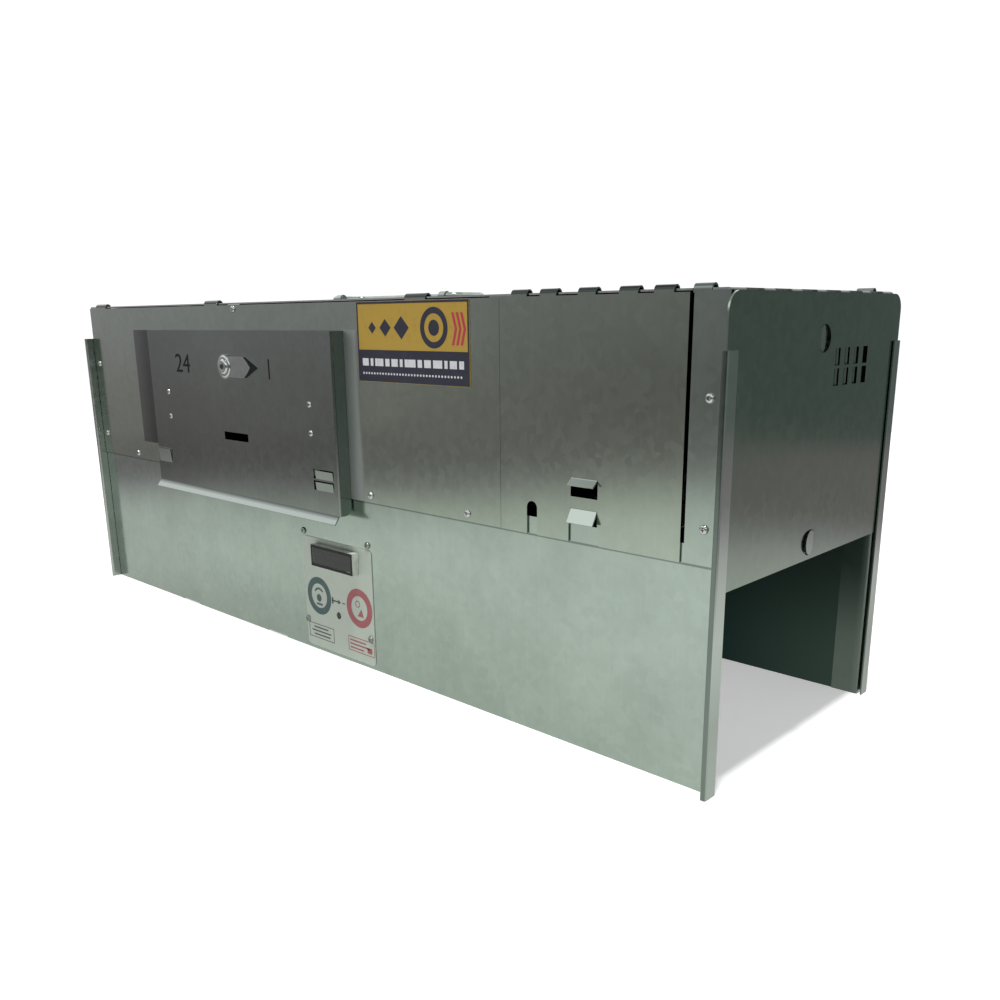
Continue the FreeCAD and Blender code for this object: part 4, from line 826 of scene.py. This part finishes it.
# %% Cover, post and label screws
def smooth(piece, degrees=35):
    """Smooth shading that keeps the sharp edges."""
    for face in piece.data.polygons:
        face.use_smooth = True
    piece.data.set_sharp_from_angle(angle=math.radians(degrees))


def set_screws(node, finish, seed):
    points, shanks, turns = [], [], []
    for low, high in clusters(node):
        rear = low.y > 0
        tip, top = (low.y, high.y) if rear else (high.y, low.y)
        seat = top + SCREW_HEAD_HEIGHT_MM * MM * (-1 if rear else 1)
        points.append(((low.x + high.x) / 2, seat, (low.z + high.z) / 2))
        shanks.append(abs(tip - seat))
        turns.append(math.pi if rear else 0.0)
    piece = set_on_points(node.replace("screws", "pan_screws"), screw_tree, points,
                          {"shank": shanks, "half_turn": turns},
                          {"Head": master_head, "Shank radius": SCREW_SHANK_RADIUS_MM * MM,
                           "Finish": finish, "Seed": seed})
    smooth(piece)
    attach(piece, "housing")
    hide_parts(node)
    print(piece.name, len(points), "screws")


set_screws("cover_screws", bright_zinc, 3)
set_screws("post_screws", bright_zinc, 7)
set_screws("label_screws", dull_zinc, 11)
bpy.data.objects.remove(master_head)

# %% [markdown]
# ## Rivets and the pivot
# The door's hook strips are held by blind rivets. Each has a low dome with a hole where its pin broke
# off, and a bulge on the blind side. The pointer turns on a larger screw with a flanged socket head.
# Both are turned shapes, so the same lathe function makes them.

# %% Blind rivets
RIVET_GRIP_MM = 2.4
RIVET_HEAD_RADIUS_MM = 3.2
RIVET_HEAD_HEIGHT_MM = 1.6
RIVET_FLAT_MM = 1.5
RIVET_SHANK_RADIUS_MM = 1.6
RIVET_HOLE_RADIUS_MM = 1.05
RIVET_HOLE_FLOOR_MM = 0.4


def rivet_mesh():
    front = pan_profile(RIVET_HEAD_RADIUS_MM, RIVET_HEAD_HEIGHT_MM, RIVET_FLAT_MM, 7, RIVET_HOLE_RADIUS_MM)
    bulge = pan_profile(RIVET_HEAD_RADIUS_MM, RIVET_HEAD_HEIGHT_MM, RIVET_FLAT_MM, 7)
    back = [(radius, RIVET_GRIP_MM - depth) for radius, depth in reversed(bulge)]
    profile = [(0, RIVET_HOLE_FLOOR_MM), (RIVET_HOLE_RADIUS_MM, RIVET_HOLE_FLOOR_MM)] + front
    profile += [(RIVET_SHANK_RADIUS_MM, 0.0), (RIVET_SHANK_RADIUS_MM, RIVET_GRIP_MM)] + back
    return turned("rivet", profile, 28)


def rivet_tree():
    tree = new_tree("rivets", (("Rivet", "NodeSocketObject"), ("Finish", "NodeSocketMaterial")))
    given = add(tree, "NodeGroupInput").outputs
    rivet = add(tree, "GeometryNodeObjectInfo", {"Object": given["Rivet"]}).outputs["Geometry"]
    all_rivets = add(tree, "GeometryNodeInstanceOnPoints", {"Points": given["Points"], "Instance": rivet})
    plain = add(tree, "GeometryNodeRealizeInstances", {"Geometry": all_rivets})
    finished = add(tree, "GeometryNodeSetMaterial", {"Geometry": plain, "Material": given["Finish"]})
    add(tree, "NodeGroupOutput", {"Geometry": finished})
    return tree


master_rivet = into_scene("rivet", rivet_mesh())
rivet_points = [((low.x + high.x) / 2, low.y + RIVET_HEAD_HEIGHT_MM * MM, (low.z + high.z) / 2)
                for low, high in clusters("door_rivets")]
rivets = set_on_points("blind_rivets", rivet_tree(), rivet_points, {},
                       {"Rivet": master_rivet, "Finish": bright_zinc})
bpy.data.objects.remove(master_rivet)
smooth(rivets)
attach(rivets, "door")
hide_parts("door_rivets")
print("rivets", len(rivet_points))


# %% The pivot screw
PIVOT_HEAD_RADIUS_MM = 9.0
PIVOT_HEAD_HEIGHT_MM = 3.2
PIVOT_FLAT_MM = 5.6
PIVOT_FLANGE_RADIUS_MM = 12.4
PIVOT_FLANGE_HEIGHT_MM = 1.5
PIVOT_SHANK_RADIUS_MM = 3.0
PIVOT_SOCKET_RADIUS_MM = 4.3
PIVOT_SOCKET_FLOOR_MM = -0.8
PIVOT_BEVEL_MM = (0.4, 0.3)


def pivot_screw():
    low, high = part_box("pointer_screw")
    seat = low[1] / MM + PIVOT_HEAD_HEIGHT_MM
    length = high[1] / MM - seat
    rim = pan_profile(PIVOT_HEAD_RADIUS_MM, PIVOT_HEAD_HEIGHT_MM, PIVOT_FLAT_MM, 10,
                      PIVOT_SOCKET_RADIUS_MM + PIVOT_BEVEL_MM[0])
    profile = [(0, PIVOT_SOCKET_FLOOR_MM), (PIVOT_SOCKET_RADIUS_MM, PIVOT_SOCKET_FLOOR_MM),
               (PIVOT_SOCKET_RADIUS_MM, PIVOT_BEVEL_MM[1] - PIVOT_HEAD_HEIGHT_MM)] + rim[:-1]
    profile += pan_profile(PIVOT_FLANGE_RADIUS_MM, PIVOT_FLANGE_HEIGHT_MM,
                           PIVOT_HEAD_RADIUS_MM + PIVOT_BEVEL_MM[0], 8, PIVOT_HEAD_RADIUS_MM)
    profile += [(PIVOT_SHANK_RADIUS_MM, 0.0), (PIVOT_SHANK_RADIUS_MM, length), (0, length)]
    mesh = turned("pivot_screw_detail", profile, 48, hexagons=(1, 2))
    mesh.transform(Matrix.Translation(((low[0] + high[0]) / 2, seat * MM, (low[2] + high[2]) / 2)))
    mesh.materials.append(bright_zinc)
    piece = into_scene("pivot_screw_detail", mesh)
    smooth(piece)
    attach(piece, "door_latch")
    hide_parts("pointer_screw")
    return piece


print("pivot faces", len(pivot_screw().data.polygons))

# %% [markdown]
# ## Printed motifs
# The emblem is a yellow field over a dark band, and the label carries two coloured rings, an arrow
# and two framed notes. They are laid out here as a design of their own, with bars and dots where a
# print would have words. Each colour is one thin piece a tenth of a millimetre proud of its plate,
# drawn from polygons, rings and bars in millimetres.

# %% Thin printed pieces
PRINT_THICKNESS_MM = 0.10


class Print:
    """Flat shapes of one colour on a front face, gathered into one closed mesh."""

    def __init__(self, face_mm):
        self.shape = bmesh.new()
        self.front = (face_mm - PRINT_THICKNESS_MM) * MM
        self.back = face_mm * MM

    def polygon(self, corners):
        """Prism from (x, z) corners in millimetres, in order round the shape."""
        front = [self.shape.verts.new((x * MM, self.front, z * MM)) for x, z in corners]
        back = [self.shape.verts.new((x * MM, self.back, z * MM)) for x, z in corners]
        self.shape.faces.new(front)
        self.shape.faces.new(back[::-1])
        for index in range(len(corners)):
            after = (index + 1) % len(corners)
            self.shape.faces.new((front[index], front[after], back[after], back[index]))

    def bar(self, left, right, bottom, top):
        self.polygon([(left, bottom), (right, bottom), (right, top), (left, top)])

    def disc(self, x, z, radius, steps=40):
        angles = [2 * math.pi * k / steps for k in range(steps)]
        self.polygon([(x + radius * math.cos(angle), z + radius * math.sin(angle)) for angle in angles])

    def ring(self, x, z, outer, inner, start=0.0, end=360.0, steps=64):
        """Ring or part of one between two angles in degrees."""
        angles = [math.radians(start + (end - start) * k / steps) for k in range(steps + 1)]
        for first, second in zip(angles, angles[1:]):
            self.polygon([(x + r * math.cos(a), z + r * math.sin(a))
                          for r, a in ((inner, first), (outer, first), (outer, second), (inner, second))])

    def frame(self, left, right, bottom, top, width):
        """Rectangular outline of one line width, mitred at its corners."""
        outer = [(left, bottom), (right, bottom), (right, top), (left, top)]
        inner = [(left + width, bottom + width), (right - width, bottom + width),
                 (right - width, top - width), (left + width, top - width)]
        for index in range(4):
            after = (index + 1) % 4
            self.polygon([outer[index], outer[after], inner[after], inner[index]])

    def finish(self, name, material, body, slot_name):
        bmesh.ops.remove_doubles(self.shape, verts=self.shape.verts, dist=0.001 * MM)
        inner = [face for face in self.shape.faces if all(len(edge.link_faces) > 2 for edge in face.edges)]
        bmesh.ops.delete(self.shape, geom=inner, context="FACES_ONLY")
        bmesh.ops.recalc_face_normals(self.shape, faces=self.shape.faces)
        mesh = bpy.data.meshes.new(name)
        self.shape.to_mesh(mesh)
        self.shape.free()
        mesh.materials.append(material)
        piece = into_scene(name, mesh)
        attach(piece, body)
        print(name, len(mesh.polygons), "faces")


# %% The emblem
emblem_low, emblem_high = ([v / MM for v in corner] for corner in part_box("emblem_plate"))
EMBLEM_FACE = emblem_low[1]
EMBLEM_LEFT, EMBLEM_RIGHT = emblem_low[0], emblem_high[0]
EMBLEM_BOTTOM, EMBLEM_TOP = emblem_low[2], emblem_high[2]
BAND_TOP = EMBLEM_BOTTOM + 28.0
MARGIN_MM = 0.3
BORDER_MM = 2.0
MOTIF_LEVEL = 353.0
# Middle and half size of each diamond, and the corners of a chevron from its own left side.
DIAMONDS = ((112.0, 5.5), (131.0, 8.0), (154.0, 10.5))
TARGET_MIDDLE = 198.0
CHEVRON_LEFTS = (221.0, 226.5, 232.0)
CHEVRON = ((0.0, 338.0), (3.0, 338.0), (7.0, 352.0), (3.0, 366.0), (0.0, 366.0), (4.0, 352.0))
WORD_WIDTHS = (9.0, 4.0, 12.0, 6.0, 9.0, 4.0, 15.0, 6.0, 9.0, 12.0, 4.0, 9.0, 6.0)
WORD_GAP = 2.9
DOT_COUNT = 34
DOT_PITCH = 4.1

navy = Print(EMBLEM_FACE)
band_left, band_right = EMBLEM_LEFT + MARGIN_MM, EMBLEM_RIGHT - MARGIN_MM
navy.frame(band_left, band_right, BAND_TOP, EMBLEM_TOP - MARGIN_MM, BORDER_MM)
navy.bar(band_left, band_right, EMBLEM_BOTTOM + MARGIN_MM, BAND_TOP)
for x, size in DIAMONDS:
    navy.polygon([(x, MOTIF_LEVEL - size), (x + size, MOTIF_LEVEL),
                  (x, MOTIF_LEVEL + size), (x - size, MOTIF_LEVEL)])
navy.ring(TARGET_MIDDLE, MOTIF_LEVEL, 18.0, 12.5)
navy.disc(TARGET_MIDDLE, MOTIF_LEVEL, 7.0)
navy.finish("emblem_dark_print", navy_ink, "housing", "emblem_print")

red = Print(EMBLEM_FACE)
for left in CHEVRON_LEFTS:
    red.polygon([(left + x, z) for x, z in CHEVRON])
red.finish("emblem_red_print", red_ink, "housing", "emblem_print")

pale = Print(EMBLEM_FACE - PRINT_THICKNESS_MM)
word_left = EMBLEM_LEFT + 7.0
for width in WORD_WIDTHS:
    pale.bar(word_left, word_left + width, BAND_TOP - 13.0, BAND_TOP - 6.0)
    word_left += width + WORD_GAP
for step in range(DOT_COUNT):
    pale.disc(EMBLEM_LEFT + 8.0 + DOT_PITCH * step, EMBLEM_BOTTOM + 8.0, 1.1, 12)
pale.finish("emblem_pale_print", pale_ink, "housing", "emblem_print")

# %% The label
LABEL_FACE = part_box("label_plate")[0][1] / MM
NOTE_BORDER_MM = 0.8
NOTE_PITCH = 4.2
LINE_HEIGHT = 1.6
# Left and right end of each line in the two notes.
LEFT_NOTE_LINES = ((-14.0, 12.0), (-18.0, 17.0), (-14.0, 15.0))
RIGHT_NOTE_LINES = ((51.0, 78.0), (51.0, 84.0), (51.0, 74.0))

blue = Print(LABEL_FACE)
blue.ring(-1.0, 64.5, 21.5, 14.0)
blue.ring(-1.0, 64.5, 9.5, 7.2, 40.0, 150.0, 20)
blue.disc(-1.5, 62.0, 4.4, 24)
blue.bar(-6.5, 4.5, 53.8, 56.0)
blue.finish("label_blue_print", label_blue, "housing", "label_print")

rose = Print(LABEL_FACE)
rose.ring(69.5, 64.2, 21.5, 13.5)
rose.polygon([(66.0, 55.0), (76.5, 55.0), (73.0, 64.0)])
rose.ring(67.0, 68.5, 4.0, 3.0, 0.0, 360.0, 24)
rose.frame(48.0, 92.0, 13.5, 30.0, NOTE_BORDER_MM)
for row, (left, right) in enumerate(RIGHT_NOTE_LINES):
    rose.bar(left, right, 25.0 - NOTE_PITCH * row, 25.0 - NOTE_PITCH * row + LINE_HEIGHT)
rose.bar(80.0, 88.0, 16.5, 22.5)
rose.finish("label_red_print", label_red, "housing", "label_print")

dark = Print(LABEL_FACE)
dark.frame(-23.0, 22.6, 13.8, 30.6, NOTE_BORDER_MM)
for row, (left, right) in enumerate(LEFT_NOTE_LINES):
    dark.bar(left, right, 25.6 - NOTE_PITCH * row, 25.6 - NOTE_PITCH * row + LINE_HEIGHT)
dark.bar(22.0, 33.0, 63.2, 65.0)
dark.polygon([(33.0, 61.2), (38.0, 64.1), (33.0, 67.0)])
dark.bar(22.0, 24.4, 60.4, 67.8)
dark.bar(40.5, 45.0, 63.4, 64.8)
dark.finish("label_dark_print", label_dark, "housing", "label_print")

# %% [markdown]
# ## Marks on the door
# The pointer turns between two numbers that are marked on the door. They are made from Blender's own
# font, turned to face the front, thickened a little and converted to a mesh, because text objects
# don't export. The tip of the pointer is painted black along its two slanted edges.

# %% Numbers and the painted tip
DOOR_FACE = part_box("door_rivets")[0][1] / MM + RIVET_HEAD_HEIGHT_MM
NUMBER_THICKNESS_MM = 0.12
NUMBER_HEIGHT_MM = 22.0
FONT_SIZE_TO_HEIGHT = 1.4
WELD_MM = 0.005
mark_paint = ink("marking paint", "101312", "232827", 0.75, 3.0, 0.15)


def join_loose_corners(mesh):
    """Join the walls of a letter to its faces, so that it is closed."""
    shape = bmesh.new()
    shape.from_mesh(mesh)
    bmesh.ops.remove_doubles(shape, verts=shape.verts, dist=WELD_MM * MM)
    bmesh.ops.dissolve_degenerate(shape, edges=shape.edges, dist=WELD_MM * MM / 5)
    bmesh.ops.recalc_face_normals(shape, faces=shape.faces)
    print("open edges", len([edge for edge in shape.edges if len(edge.link_faces) != 2]))
    shape.to_mesh(mesh)
    shape.free()


def number(digits, x, z, width_share):
    """Number in relief, as wide as this share of the font's own width."""
    curve = bpy.data.curves.new("number_" + digits, "FONT")
    curve.body = digits
    curve.size = NUMBER_HEIGHT_MM * MM * FONT_SIZE_TO_HEIGHT
    curve.extrude = NUMBER_THICKNESS_MM / 2 * MM
    curve.align_x = "CENTER"
    curve.align_y = "CENTER"
    holder = into_scene("number_" + digits, curve)
    mesh = baked(holder)
    bpy.data.objects.remove(holder)
    upright = Matrix.Rotation(math.pi / 2, 4, "X") @ Matrix.Diagonal((width_share, 1, 1, 1))
    middle = Vector((x, DOOR_FACE - NUMBER_THICKNESS_MM / 2, z)) * MM
    mesh.transform(Matrix.Translation(middle) @ upright)
    join_loose_corners(mesh)
    mesh.materials.clear()
    mesh.materials.append(mark_paint)
    piece = into_scene("door_number_" + digits, mesh)
    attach(piece, "door")
    print(piece.name, len(mesh.polygons), "faces")


number("24", -226.0, 311.0, 1.15)
number("1", -45.0, 309.0, 0.8)

pointer_low, pointer_high = ([v / MM for v in corner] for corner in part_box("setting_pointer"))
TIP_X = pointer_high[0] - 0.6
SHOULDER_X = TIP_X - 24.0
TIP_Z = (pointer_low[2] + pointer_high[2]) / 2
TIP_HALF_WIDTH = 11.2
tip = Print(pointer_low[1])
for side in (1, -1):
    shoulder = TIP_Z + TIP_HALF_WIDTH * side
    tip.polygon([(TIP_X, TIP_Z), (SHOULDER_X, shoulder), (SHOULDER_X - 5.0, shoulder),
                 (SHOULDER_X + 2.0, TIP_Z + 6.0 * side), (TIP_X - 16.0, TIP_Z)][::side])
tip.finish("pointer_tip_paint", mark_paint, "door_latch", "pointer_zinc")
